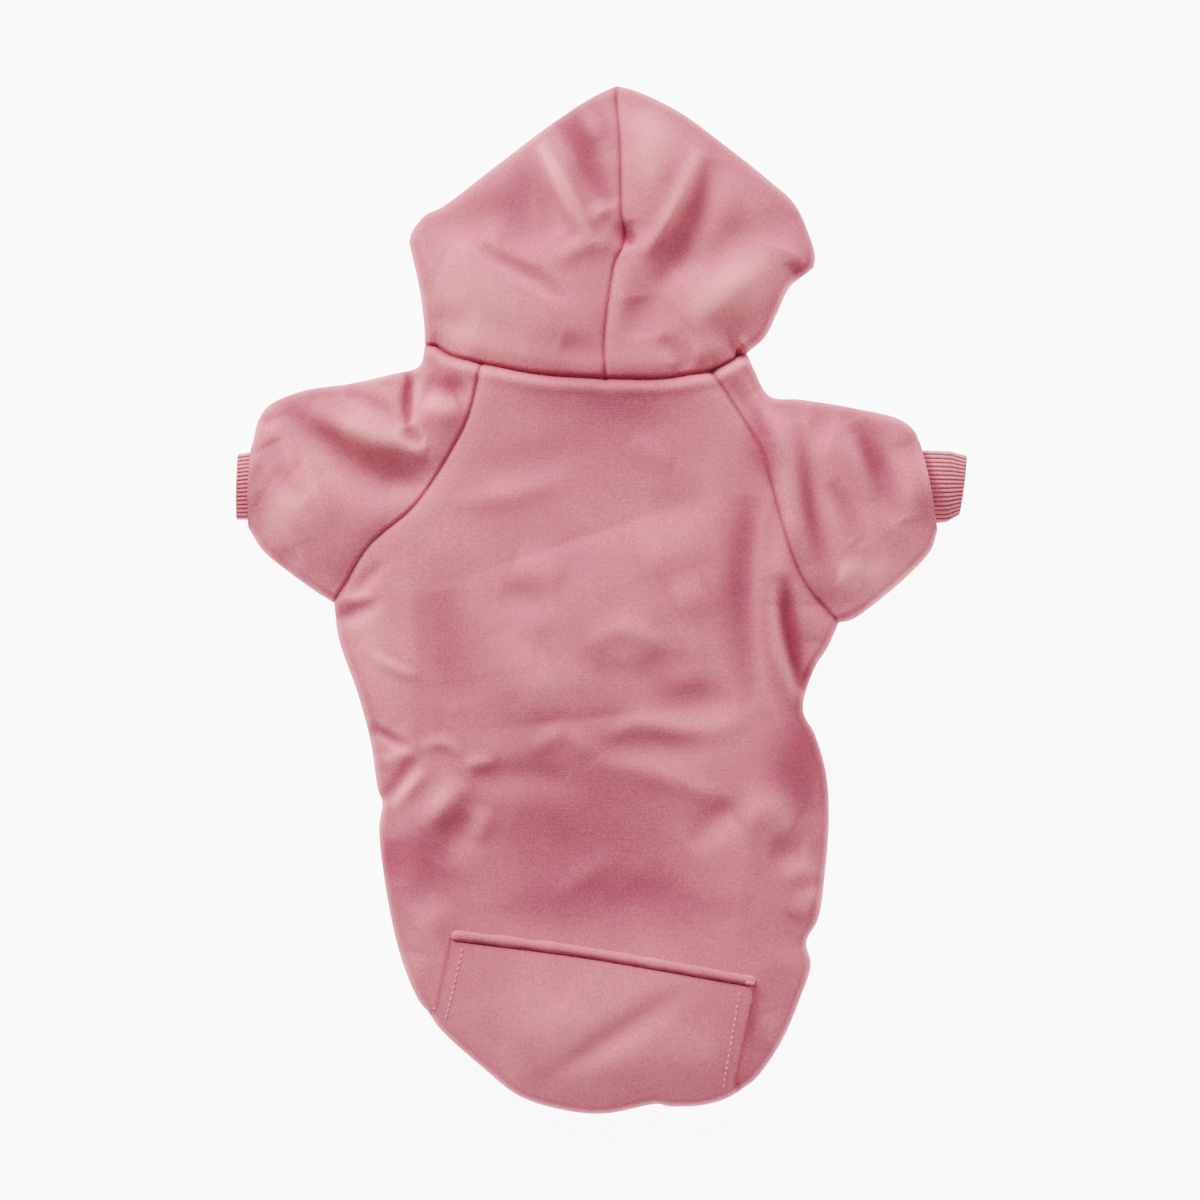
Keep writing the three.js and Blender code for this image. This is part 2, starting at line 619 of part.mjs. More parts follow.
// The section of a flattened cuff: domed above, flat beneath, round at both ends
function cuffSection(halfWidth) {
  const corner = CUFF_HEIGHT / 2;
  const flat = halfWidth - corner;
  const round = (from, centre) => Array.from({ length: ARC_STEPS + 1 }, (_, m) => {
    const angle = from + (Math.PI * m) / ARC_STEPS;
    return plan(centre + corner * Math.sin(angle), corner + corner * Math.cos(angle));
  });
  const dome = [-0.6, -0.2, 0.2, 0.6].map((share) => plan(
    share * flat,
    CUFF_HEIGHT + CUFF_RISE * (1 - share * share),
  ));
  const base = [0.5, -0.5].map((share) => plan(share * flat, 0));
  return [...round(0, flat), ...base, ...round(Math.PI, -flat), ...dome];
}

// A loop with a rib at every other point, wound to face out for its side
function ribbedLoop(sheet, top, bottom, sign) {
  const middle = top.clone().lerp(bottom, 0.5);
  const across = top.clone().sub(bottom);
  const section = cuffSection(across.length() / 2);
  across.normalize();
  const low = WALL + CUFF_CLEARANCE;
  const points = section.map((q) => lifted(middle.clone().addScaledVector(across, q.x), low + q.y));
  const curve = new THREE.CatmullRomCurve3(points, true, 'centripetal');
  const axis = lifted(across, 0).cross(DOWN);
  const count = CUFF_RIBS * 2;
  const row = Array.from({ length: count }, (_, m) => {
    const share = ((sign > 0 ? count - m : m) / count) % 1;
    const out = curve.getTangentAt(share).cross(axis).normalize();
    const ribbed = m % 2 ? -RIB_DEPTH / 2 : RIB_DEPTH / 2;
    return sheet.add(curve.getPointAt(share).addScaledVector(out, ribbed), out.clone().negate());
  });
  return [...row, row[0]];
}

const weltLine = stepped([POCKET_LEFT, WELT_BEND, POCKET_RIGHT], BACK_STEPS);
const weltUp = normals(weltLine, -1);

// Pocket: a flat pouch over the tail, open at both slanted sides
function pocket() {
  const sheet = new Sheet(POCKET_WALL);
  const below = -(WELT_WIDTH / 2 + POCKET_GAP);
  const mouth = weltLine.map((p, j) => p.clone().addScaledVector(weltUp[j], below));
  const tail = bodyEdge.inset.slice(SIDE_STEPS, SIDE_STEPS + BACK_STEPS + 1);
  const left = stepped([mouth[0], tail[0]], POCKET_STEPS);
  const right = stepped([mouth[BACK_STEPS], tail[BACK_STEPS]], POCKET_STEPS);
  const rows = filled(mouth, tail, left, right).map((row, i) => row.map((p, j) => {
    const puff = Math.sin((Math.PI * j) / BACK_STEPS) * Math.sin((Math.PI * i) / POCKET_STEPS);
    return sheet.onTop(p, POCKET_STACK + POCKET_PUFF * puff);
  }));
  rows.slice(1).forEach((row, i) => sheet.span(row, rows[i]));
  const strips = rows[POCKET_STEPS].map((top, j) => {
    const k = SIDE_STEPS + j;
    const edge = bodyEdge.inset[k];
    const sizes = { reach: ROLL, low: 0, high: sheet.outer[top].z };
    return sheet.under(top, edge, bodyEdge.out[k], sizes, turnedRun(k));
  });
  strips.slice(1).forEach((strip, j) => sheet.span(strips[j], strip));
  addPiece('pocket', sheet.trimmed().geometry(), FLEECE);
}

// Welt: a rolled strip over the pocket's upper edge, round above and flat beneath
function pocketWelt() {
  const ring = 8;
  const points = [];
  weltLine.forEach((p, j) => {
    for (let m = 0; m < ring; m += 1) {
      const angle = (Math.PI * m) / (ring - 1);
      const flat = p.clone().addScaledVector(weltUp[j], (WELT_WIDTH / 2) * Math.cos(angle));
      points.push(lifted(flat, heightAt(p) + POCKET_GAP + WELT_HEIGHT * Math.sin(angle)));
    }
  });
  const index = [];
  for (let j = 0; j < BACK_STEPS; j += 1) {
    for (let m = 0; m < ring; m += 1) {
      const a = j * ring + m;
      const b = j * ring + ((m + 1) % ring);
      index.push(a, b, b + ring, a, b + ring, a + ring);
    }
  }
  for (let m = 1; m + 1 < ring; m += 1) {
    const end = BACK_STEPS * ring;
    index.push(0, m + 1, m);
    index.push(end, end + m, end + m + 1);
  }
  const geometry = new THREE.BufferGeometry();
  geometry.setFromPoints(points);
  geometry.setIndex(index);
  geometry.computeVertexNormals();
  addPiece('pocket_welt', geometry, FLEECE);
}

backPanel();
bellyPanel();
sleeve('sleeve_left', SIDES.left);
sleeve('sleeve_right', SIDES.right);
cuff('cuff_left', SIDES.left);
cuff('cuff_right', SIDES.right);
hoodHalf('hood_left', SIDES.left, backNeckLeft);
hoodHalf('hood_right', SIDES.right, [...backNeckRight].reverse());
pocket();
pocketWelt();

const box = new THREE.Box3().setFromObject(hoodie);
const centre = box.getCenter(new THREE.Vector3());
hoodie.position.set(-centre.x, -centre.y, -box.min.z);

export default hoodie;
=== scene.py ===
"""A small dog's hoodie, lying flat on its belly side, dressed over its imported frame.

Plan sizes are in millimetres, measured from the middle of the neck seam as the garment is
cut; meshes are in metres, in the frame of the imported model.
"""

import logging
import math
from dataclasses import dataclass, field
from enum import Enum
from typing import Iterable, Sequence

import bpy
import numpy as np
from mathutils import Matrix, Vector, noise


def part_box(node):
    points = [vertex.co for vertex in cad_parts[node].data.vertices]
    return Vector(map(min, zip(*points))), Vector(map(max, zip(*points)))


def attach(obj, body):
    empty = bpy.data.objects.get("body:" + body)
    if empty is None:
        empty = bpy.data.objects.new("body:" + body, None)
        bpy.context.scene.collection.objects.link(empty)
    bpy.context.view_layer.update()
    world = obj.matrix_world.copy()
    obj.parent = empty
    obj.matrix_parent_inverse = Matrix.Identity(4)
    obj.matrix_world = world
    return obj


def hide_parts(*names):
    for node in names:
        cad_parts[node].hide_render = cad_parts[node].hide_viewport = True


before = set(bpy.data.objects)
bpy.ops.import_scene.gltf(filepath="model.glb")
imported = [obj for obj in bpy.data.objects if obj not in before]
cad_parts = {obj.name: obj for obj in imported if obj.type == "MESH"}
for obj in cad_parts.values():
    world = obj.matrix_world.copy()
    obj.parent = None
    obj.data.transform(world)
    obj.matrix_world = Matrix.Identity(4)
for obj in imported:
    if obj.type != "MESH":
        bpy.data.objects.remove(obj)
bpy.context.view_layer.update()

LOG = logging.getLogger("hoodie")
MM = 0.001
SEEN_STEP = 0.45  # millimetres for each step of the photograph
SEEN_NECK = (601.8, 380.8)
Plan = np.ndarray


class Hold(Enum):
    """The ways a sheet of cloth can lie."""

    LAID = "laid"
    FOLDED = "folded"


class Side(Enum):
    """The two sides of the garment, with the sign of their X."""

    LEFT = -1
    RIGHT = 1


@dataclass(frozen=True)
class GarmentSizes:
    """Named sizes of the garment as it lies, in millimetres."""

    body_length: float = 330.0
    body_width: float = 204.0
    armhole_depth: float = 119.0
    sleeve_length: float = 80.0
    hood_length: float = 132.0
    hood_width: float = 183.0
    loft: float = 16.0
    wall: float = 1.9
    pocket_wall: float = 1.5
    roll: float = 5.0
    side_turn: float = 18.0
    seam_dip: float = 2.2
    seam_spread: float = 5.0
    edge_fall: float = 0.34
    edge_spread: float = 15.0

    def on_body(self, across: float, down: float) -> Plan:
        """A place on the body, from its shares of the body's width and length."""
        return np.array([across * self.body_width, -down * self.body_length])

    def on_hood(self, across: float, up: float) -> Plan:
        """A place on the hood, from its shares of the hood's width and length."""
        return np.array([across * self.hood_width, up * self.hood_length])

    def on_tail(self, across: float, up: float) -> Plan:
        """A place near the tail, with its height above the fold there."""
        return np.array([across * self.body_width, (up - 1) * self.body_length])


SIZES = GarmentSizes()


def unit(vector: Plan) -> Plan:
    """The vector at length one."""
    return vector / np.linalg.norm(vector)


def fade(away: np.ndarray) -> np.ndarray:
    """A bell that is one at nought and dies away smoothly."""
    return np.exp(-away * away)


def stepped(points: Sequence[Plan], steps: int, ease: float = 1.0) -> Plan:
    """A smooth run through a few places.

    Args:
        points: The places that the run passes through.
        steps: How many pieces the run is cut into.
        ease: One for even pieces; below one, the first pieces are longer.

    Returns:
        The run's places, one more than its steps.
    """
    through = np.array(points, float)
    if len(through) == 2:
        share = (np.arange(steps + 1) / steps) ** ease
        return through[0] + share[:, None] * (through[1] - through[0])
    ends = np.vstack([2 * through[0] - through[1], through, 2 * through[-1] - through[-2]])
    dense = [through[:1]]
    cuts = np.linspace(0, 1, 33)[1:, None]
    for a, b, c, d in zip(ends, ends[1:], ends[2:], ends[3:]):
        before, middle, after = (
            max(np.linalg.norm(q - p) ** 0.5, 1e-4) for p, q in ((a, b), (b, c), (c, d))
        )
        leave = ((b - a) / before - (c - a) / (before + middle)) * middle + (c - b)
        arrive = ((d - c) / after - (d - b) / (middle + after)) * middle + (c - b)
        square, cube = cuts * cuts, cuts * cuts * cuts
        dense.append(
            b + leave * cuts
            + (3 * (c - b) - 2 * leave - arrive) * square
            + (2 * (b - c) + leave + arrive) * cube
        )
    line = np.vstack(dense)
    length = np.concatenate([[0], np.cumsum(np.linalg.norm(np.diff(line, axis=0), axis=1))])
    at = length[-1] * (np.arange(steps + 1) / steps) ** ease
    return np.stack([np.interp(at, length, line[:, k]) for k in range(line.shape[1])], axis=1)


def joined(*runs: Plan) -> Plan:
    """One run from several, each of which starts where the one before it ends."""
    return np.vstack([runs[0], *(run[1:] for run in runs[1:])])


def ways_out(points: Plan, turn: float) -> Plan:
    """Unit normals of a run, to the right of travel where turn is one."""
    along = np.gradient(points, axis=0)
    along /= np.linalg.norm(along, axis=1)[:, None]
    return np.stack([along[:, 1] * turn, -along[:, 0] * turn], axis=1)


def eased(ways: Plan, rounds: int = 1) -> Plan:
    """The ways averaged with their neighbours, with both ends kept."""
    for _ in range(rounds):
        inner = 2 * ways[1:-1] + ways[:-2] + ways[2:]
        ways = np.vstack([ways[:1], inner / np.linalg.norm(inner, axis=1)[:, None], ways[-1:]])
    return ways


def filled(first: Plan, last: Plan, left: Plan, right: Plan) -> Plan:
    """Rows of places filled in between four edges.

    Args:
        first: The first row.
        last: The last row.
        left: The first column.
        right: The last column.

    Returns:
        An array of rows by columns by two.
    """
    v = np.linspace(0, 1, len(left))[:, None, None]
    u = np.linspace(0, 1, len(first))[None, :, None]
    corners = (
        first[0] * (1 - u) * (1 - v) + first[-1] * u * (1 - v)
        + last[0] * (1 - u) * v + last[-1] * u * v
    )
    between_rows = first[None] * (1 - v) + last[None] * v
    return between_rows + left[:, None] * (1 - u) + right[:, None] * u - corners


def relaxed(places: Plan, rounds: int = 300) -> Plan:
    """Rows of places with their inner ones drawn towards their neighbours, so that none cross."""
    places = places.copy()
    for _ in range(rounds):
        beside = places[1:-1, :-2] + places[1:-1, 2:]
        places[1:-1, 1:-1] = (places[:-2, 1:-1] + places[2:, 1:-1] + beside) / 4
    return places


def near_run(places: Plan, run: Plan) -> tuple[np.ndarray, np.ndarray, np.ndarray]:
    """How far places are from a run of points.

    Args:
        places: An array of places by two.
        run: The run's points.

    Returns:
        The distance of each place, its signed distance, over nought to the left of travel, and
        how far along the run it is, from nought to one.
    """
    best = np.full(len(places), np.inf)
    signed = np.zeros(len(places))
    passed = np.zeros(len(places))
    pieces = len(run) - 1
    for count, (start, end) in enumerate(zip(run[:-1], run[1:])):
        along = end - start
        off = places - start
        share = np.clip(off @ along / max(along @ along, 1e-9), 0, 1)
        gap = off - share[:, None] * along
        away = np.hypot(gap[:, 0], gap[:, 1])
        nearer = away < best
        best = np.where(nearer, away, best)
        side = (along[0] * off[:, 1] - along[1] * off[:, 0]) / max(np.hypot(*along), 1e-9)
        signed = np.where(nearer, side, signed)
        passed = np.where(nearer, (count + share) / pieces, passed)
    return best, signed, passed


@dataclass
class RolledEdge:
    """An outline that rolls under: the way out at each place, and where the roll starts."""

    outline: Plan
    turn: float
    first_out: Plan
    last_out: Plan
    out: Plan = field(init=False)
    inset: Plan = field(init=False)

    def __post_init__(self) -> None:
        """Works out the ways out, eased over about a roll's length."""
        ways = ways_out(self.outline, self.turn)
        ways[0], ways[-1] = self.first_out, self.last_out
        step = np.linalg.norm(np.diff(self.outline, axis=0), axis=1).mean()
        rounds = max(1, int((SIZES.roll * 1.2 / step) ** 2))
        self.out = eased(ways, rounds)
        self.inset = self.outline - self.out * SIZES.roll


@dataclass(frozen=True)
class SidePattern:
    """The outline places of one side, as shares of the garment's sizes."""

    side: Side
    neck: tuple[float, float]
    armhole_drop: float
    armpit_across: float
    armpit_out: tuple[float, float]
    neck_bit: tuple[float, float]
    flank: tuple[tuple[float, float], ...]
    raglan: tuple[tuple[float, float], ...]
    front: tuple[tuple[float, float], ...]
    upper: tuple[tuple[float, float], ...]
    lower: tuple[tuple[float, float], ...]
    hood_side: tuple[tuple[float, float], ...]
    brow: tuple[tuple[float, float], ...]
    rim: tuple[tuple[float, float], ...]
    sleeve_rounds: int
    cuff_mid: float
    cuff_mouth: float
    cuff_shown: float
    cuff_sections: tuple[tuple[float, float, float, float], ...]


LEFT_PATTERN = SidePattern(
    side=Side.LEFT,
    neck=(-0.392, -0.049),
    armhole_drop=0.976,
    armpit_across=0.593,
    armpit_out=(-0.55, -0.83),
    neck_bit=(-0.334, -0.034),
    flank=(
        (0.582, 0.071), (0.540, 0.178), (0.511, 0.276), (0.496, 0.365), (0.486, 0.390),
        (0.493, 0.443), (0.478, 0.561), (0.447, 0.688), (0.405, 0.780), (0.383, 0.803),
    ),
    raglan=((-0.290, 0.045), (-0.334, 0.100), (-0.412, 0.172), (-0.511, 0.225)),
    front=((-0.235, 0.018), (-0.375, 0.150)),
    upper=(
        (0.028, 0.076), (0.191, 0.110), (0.416, 0.144), (0.697, 0.174), (0.877, 0.227),
        (0.934, 0.280), (0.973, 0.382),
    ),
    lower=((0.613, 0.934), (0.754, 0.866), (0.911, 0.779), (0.990, 0.696)),
    hood_side=((-0.439, 0.194), (-0.449, 0.307), (-0.466, 0.416), (-0.476, 0.474)),
    brow=(
        (-0.468, 0.512), (-0.434, 0.570), (-0.397, 0.594), (-0.250, 0.747), (-0.102, 0.901),
        (-0.016, 0.976),
    ),
    rim=(
        (-0.139, -0.050), (-0.274, 0.125), (-0.343, 0.280), (-0.360, 0.430), (-0.300, 0.530),
        (-0.150, 0.690),
    ),
    sleeve_rounds=5,
    cuff_mid=0.528,
    cuff_mouth=0.981,
    cuff_shown=0.32,
    cuff_sections=((0, 0.42, -0.45, 0), (0.6, 0.43, -0.46, 0), (1, 0.40, -0.46, -0.05)),
)

RIGHT_PATTERN = SidePattern(
    side=Side.RIGHT,
    neck=(0.321, -0.038),
    armhole_drop=1.021,
    armpit_across=0.524,
    armpit_out=(0.7, -0.7),
    neck_bit=(0.295, -0.032),
    flank=(
        (0.500, 0.049), (0.469, 0.096), (0.445, 0.178), (0.471, 0.227), (0.496, 0.308),
        (0.502, 0.400), (0.493, 0.512), (0.478, 0.604), (0.452, 0.651), (0.462, 0.696),
        (0.438, 0.767), (0.394, 0.859), (0.339, 0.931), (0.306, 0.953),
    ),
    raglan=((0.284, 0.027), (0.350, 0.095), (0.374, 0.147), (0.405, 0.216), (0.450, 0.280)),
    front=((0.215, 0.008), (0.385, 0.165)),
    upper=(
        (0.045, 0.070), (0.129, 0.163), (0.298, 0.174), (0.579, 0.204), (0.861, 0.250),
        (0.945, 0.295), (0.967, 0.333),
    ),
    lower=((0.591, 1.010), (0.720, 0.949), (0.917, 0.836), (1.040, 0.741), (1.069, 0.677)),
    hood_side=((0.402, 0.150), (0.431, 0.229), (0.463, 0.321), (0.500, 0.362), (0.522, 0.388)),
    brow=(
        (0.525, 0.430), (0.512, 0.495), (0.476, 0.604), (0.414, 0.683), (0.291, 0.819),
        (0.193, 0.918), (0.082, 0.993),
    ),
    rim=(
        (0.156, -0.050), (0.279, 0.110), (0.352, 0.260), (0.385, 0.405), (0.340, 0.535),
        (0.218, 0.700),
    ),
    sleeve_rounds=40,
    cuff_mid=0.507,
    cuff_mouth=1.018,
    cuff_shown=0.84,
    cuff_sections=(
        (0, 0.48, -0.46, -0.1), (0.3, 0.48, -0.47, -0.1), (0.65, 0.47, -0.46, 0.1),
        (1, 0.41, -0.36, 0.25),
    ),
)

TAIL = (
    (-0.357, 0.115), (-0.268, 0.065), (-0.180, 0.023), (-0.070, 0.003), (0.008, 0.0),
    (0.123, 0.013), (0.145, 0.010), (0.217, 0.011), (0.273, 0.020),
)
BACK_NECK_LEFT = ((-0.266, -0.022), (-0.136, -0.007), (0.008, -0.001))
BACK_NECK_RIGHT = ((0.008, -0.001), (0.129, -0.001), (0.240, -0.012))
CHIN = (0.008, 0.059)
CHIN_SAG = 0.012
PEAK = (0.035, 1.010)
RIM_PEAK = (0.038, 0.830)
CROWN_SEAM = (
    (0.006, 0.126), (0.018, 0.279), (0.033, 0.399), (0.055, 0.467), (0.048, 0.569), (0.045, 0.791),
)
POCKET_LEFT = (-0.330, 0.753)
POCKET_RIGHT = (0.336, 0.816)
WELT_BEND = (-0.040, 0.776)
WELT_WIDTH = 4.8
POCKET_GAP = 0.4


@dataclass(frozen=True)
class Steps:
    """How finely each run is cut."""

    raglan: int = 84
    side: int = 150
    hem_at: int = 98
    back: int = 136
    bit: int = 18
    chin: int = 30
    hood: int = 104
    turn: int = 12
    sleeve: int = 104
    pocket: int = 56
    roll: int = 10


STEPS = Steps()


class SideRuns:
    """The seams and outlines of one side, as smooth runs."""

    def __init__(self, pattern: SidePattern) -> None:
        """Draws the side's runs.

        Args:
            pattern: The side's outline places.
        """
        self.pattern = pattern
        self.sign = pattern.side.value
        self.neck = SIZES.on_body(*pattern.neck)
        self.neck_out = unit(np.array([self.sign, 0.1]))
        self.neck_inset = self.neck - self.neck_out * SIZES.roll
        self.armpit = np.array([
            self.sign * pattern.armpit_across * SIZES.body_width,
            self.neck[1] - pattern.armhole_drop * SIZES.armhole_depth,
        ])
        self.armpit_out = unit(np.array(pattern.armpit_out))
        flank = [self.on_flank(*place) for place in pattern.flank]
        self.flank = stepped([self.armpit, *flank], STEPS.side)

    def on_sleeve(self, out: float, down: float) -> Plan:
        """A place on the sleeve, from its shares of the sleeve's length and the armhole."""
        return self.neck + np.array([
            self.sign * out * SIZES.sleeve_length, -down * SIZES.armhole_depth,
        ])

    def on_flank(self, out: float, down: float) -> Plan:
        """A place on the flank, with its share of the way from armpit to tail."""
        return np.array([
            self.sign * out * SIZES.body_width,
            self.armpit[1] - down * (SIZES.body_length + self.armpit[1]),
        ])

    def sew(self, raglan_top: Plan, armpit_inset: Plan, turn_end: Plan, chin: Plan) -> None:
        """Draws the seams that meet the body's runs.

        Args:
            raglan_top: Where the raglan meets the back neck seam.
            armpit_inset: Where the roll starts at the armpit.
            turn_end: Where the turned edge ends under the armpit.
            chin: The lowest place of the front neck seam.
        """
        pattern = self.pattern
        chin_side, front_middle = (SIZES.on_body(*place) for place in pattern.front)
        self.back_bit = stepped(
            [self.neck_inset, SIZES.on_body(*pattern.neck_bit), raglan_top], STEPS.bit)
        self.back_raglan = stepped(
            [raglan_top, *(SIZES.on_body(*p) for p in pattern.raglan), armpit_inset], STEPS.raglan)
        self.front_bit = stepped([self.neck_inset, chin_side], STEPS.bit)
        front_steps = STEPS.raglan - STEPS.turn
        self.front_raglan = stepped([chin_side, front_middle, turn_end], front_steps)
        self.under_arm = stepped([turn_end, armpit_inset], STEPS.turn)
        sagging = (chin_side + chin) / 2 - np.array([0, CHIN_SAG * SIZES.body_length])
        self.front_neck = stepped([chin_side, sagging, chin], STEPS.chin)
        upper = [self.on_sleeve(*place) for place in pattern.upper]
        lower = [self.on_sleeve(*place) for place in pattern.lower]
        across = unit(upper[-1] - lower[-1])
        self.upper_edge = RolledEdge(
            stepped([self.neck, *upper], STEPS.sleeve), -self.sign, self.neck_out, across)
        self.lower_edge = RolledEdge(
            stepped([self.armpit, *lower], STEPS.sleeve), self.sign, self.armpit_out, -across)
        hood_side = stepped(
            [self.neck, *(SIZES.on_hood(*p) for p in pattern.hood_side)], STEPS.hood)
        brow = stepped(
            [hood_side[-1], *(SIZES.on_hood(*p) for p in pattern.brow), SIZES.on_hood(*PEAK)],
            STEPS.bit + STEPS.back // 2)
        self.hood_edge = RolledEdge(
            joined(hood_side, brow), self.sign, self.neck_out, np.array([0.0, 1.0]))


class Pattern:
    """All seams and outlines of the garment."""

    def __init__(self) -> None:
        """Draws every run that two pieces share."""
        self.left = SideRuns(LEFT_PATTERN)
        self.right = SideRuns(RIGHT_PATTERN)
        half = STEPS.back // 2
        self.neck_left = stepped([SIZES.on_body(*p) for p in BACK_NECK_LEFT], half)
        self.neck_right = stepped([SIZES.on_body(*p) for p in BACK_NECK_RIGHT], half)
        self.back_neck = joined(self.neck_left, self.neck_right)
        self.chin = SIZES.on_body(*CHIN)
        tail = stepped(
            [self.left.flank[-1], *(SIZES.on_tail(*p) for p in TAIL), self.right.flank[-1]],
            STEPS.back)
        self.edge = RolledEdge(
            joined(self.left.flank, tail, self.right.flank[::-1]),
            1, self.left.armpit_out, self.right.armpit_out)
        soft = eased(self.edge.out, 400)
        self.turn_end = self.edge.inset - soft * SIZES.side_turn
        self.left.sew(self.back_neck[0], self.edge.inset[0], self.turn_end[0], self.chin)
        self.right.sew(self.back_neck[-1], self.edge.inset[-1], self.turn_end[-1], self.chin)
        self.peak_inset = SIZES.on_hood(*PEAK) - np.array([0, SIZES.roll])
        self.crown_seam = stepped(
            [self.back_neck[half], *(SIZES.on_hood(*p) for p in CROWN_SEAM), self.peak_inset],
            STEPS.hood)
        self.welt_line = stepped(
            [SIZES.on_body(*p) for p in (POCKET_LEFT, WELT_BEND, POCKET_RIGHT)], STEPS.back)

    @property
    def pocket_lines(self) -> list[Plan]:
        """The lower edge of the welt and the two slits of the pocket."""
        foot = self.welt_line + ways_out(self.welt_line, -1) * -WELT_WIDTH / 2
        tail = self.edge.inset[STEPS.side: STEPS.side + STEPS.back + 1]
        return [foot, *(stepped([foot[end], tail[end]], 40) for end in (0, -1))]

    @property
    def edges(self) -> list[Plan]:
        """The outlines that the cloth falls towards."""
        sides = [
            edge.outline for s in (self.left, self.right)
            for edge in (s.upper_edge, s.lower_edge, s.hood_edge)
        ]
        return [self.edge.outline, *sides]

    @property
    def shift(self) -> np.ndarray:
        """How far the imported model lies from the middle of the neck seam, in millimetres."""
        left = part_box("back_panel")[0].x
        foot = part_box("pocket")[0].y
        outline = self.edge.outline
        return np.array([left / MM - outline[:, 0].min(), foot / MM - outline[:, 1].min(), 0.0])


def seen(across: float, down: float) -> Plan:
    """A place of the garment from where it was seen in the photograph."""
    return np.array([(across - SEEN_NECK[0]) * SEEN_STEP, (SEEN_NECK[1] - down) * SEEN_STEP])


@dataclass(frozen=True)
class Fold:
    """A fold along a few places, which are as seen in the photograph.

    rise is its height and width its half width, in millimetres. step is the height of a shelf
    along it: over nought, the cloth left of its travel lies higher.
    """

    places: tuple[tuple[float, float], ...]
    rise: float
    width: float
    step: float = 0.0

    @property
    def run(self) -> Plan:
        """The fold's smooth run in the garment's plan."""
        points = [seen(*place) for place in self.places]
        return stepped(points, max(1, 3 * (len(points) - 1)))

    def height(self, places: Plan) -> np.ndarray:
        """The fold's height at places, in millimetres."""
        run = self.run
        reach = 2.7 * self.width
        inside = (places > run.min(axis=0) - reach) & (places < run.max(axis=0) + reach)
        near = np.all(inside, axis=1)
        height = np.zeros(len(places))
        away, signed, passed = near_run(places[near], run)
        taper = 0.12 + 0.88 * np.sin(math.pi * passed) ** 0.8
        width = self.width * (0.8 + 0.2 * taper)
        tilt = self.step * signed / width if self.step else 0.0
        height[near] = fade(away / width) * (self.rise + tilt) * taper
        return height


HOOD_FOLDS = (
    Fold(((538, 143), (560, 185), (575, 213), (590, 240)), 4.0, 4.8, 0.8),
    Fold(((568, 120), (592, 165), (610, 209)), -4.4, 7.0),
    Fold(((512, 165), (538, 200), (560, 235)), -2.4, 8.0),
    Fold(((584, 108), (600, 142)), 1.8, 4.2), Fold(((588, 224), (608, 210), (623, 222)), 1.5, 4.2),
    Fold(((556, 262), (586, 246), (610, 247)), 1.7, 5.0),
    Fold(((626, 222), (629, 250)), -3.0, 4.6),
    Fold(((478, 252), (515, 271), (540, 284), (566, 302)), -2.4, 4.4, -2.4),
    Fold(((438, 272), (500, 300), (560, 325), (600, 332)), 3.6, 14.0),
    Fold(((422, 240), (470, 222), (535, 214)), -4.2, 12.0),
    Fold(((496, 246), (560, 228)), -2.2, 9.0),
    Fold(((446, 222), (500, 176), (560, 128)), 2.0, 8.0),
    Fold(((430, 316), (477, 325)), -1.6, 6.5), Fold(((560, 345), (604, 361)), -1.8, 6.5),
    Fold(((648, 108), (656, 150), (650, 195), (640, 226)), 2.4, 8.5),
    Fold(((699, 150), (682, 195), (662, 230), (640, 258)), 3.4, 5.0),
    Fold(((714, 160), (703, 205), (683, 250), (656, 292)), -4.2, 7.6),
    Fold(((797, 216), (755, 233), (715, 252), (678, 278)), -3.6, 11.0),
    Fold(((804, 262), (762, 280), (722, 304), (690, 330)), 4.4, 12.0),
    Fold(((657, 341), (676, 352), (682, 363), (674, 377)), -1.9, 4.4),
    Fold(((690, 353), (730, 345)), 2.0, 7.0), Fold(((735, 352), (751, 355)), -3.4, 2.9),
    Fold(((640, 298), (646, 338)), -1.8, 9.0),
    Fold(((622, 262), (618, 300), (612, 340)), 1.4, 6.0),
    Fold(((712, 128), (758, 168), (795, 214)), 2.0, 8.5),
    Fold(((432, 352), (520, 372), (604, 381), (680, 379), (738, 362)), 2.4, 13.0),
)
LEFT_SLEEVE_FOLDS = (
    Fold(((413, 371), (409, 400), (408, 428)), -3.8, 3.3, 1.3),
    Fold(((408, 427), (415, 439), (425, 440)), -2.8, 3.6),
    Fold(((430, 450), (404, 444), (380, 440), (350, 427), (310, 407)), 4.4, 7.0),
    Fold(((284, 406), (304, 428), (332, 447), (357, 469), (384, 483), (412, 482),
         (436, 466)), -5.6, 8.2),
    Fold(((292, 474), (335, 512), (385, 522)), 2.0, 14.0),
    Fold(((345, 393), (378, 406), (403, 423)), -1.8, 4.6),
    Fold(((360, 385), (400, 398)), 1.2, 6.0),
    Fold(((426, 378), (446, 391), (468, 385)), -3.2, 7.0),
    Fold(((424, 400), (442, 408), (458, 402)), 3.2, 8.5),
    Fold(((306, 456), (313, 486), (323, 507), (331, 526)), 0.6, 3.4),
    Fold(((284, 432), (291, 460), (302, 492)), 0.6, 3.4),
    Fold(((274, 468), (290, 482), (308, 499)), -1.4, 7.0),
    Fold(((262, 500), (290, 520), (300, 545)), 2.0, 10.0),
    Fold(((266, 562), (302, 554)), -1.6, 5.0), Fold(((262, 425), (270, 445)), 1.8, 7.0),
    Fold(((262, 436), (252, 480), (250, 530)), 2.0, 6.0),
)
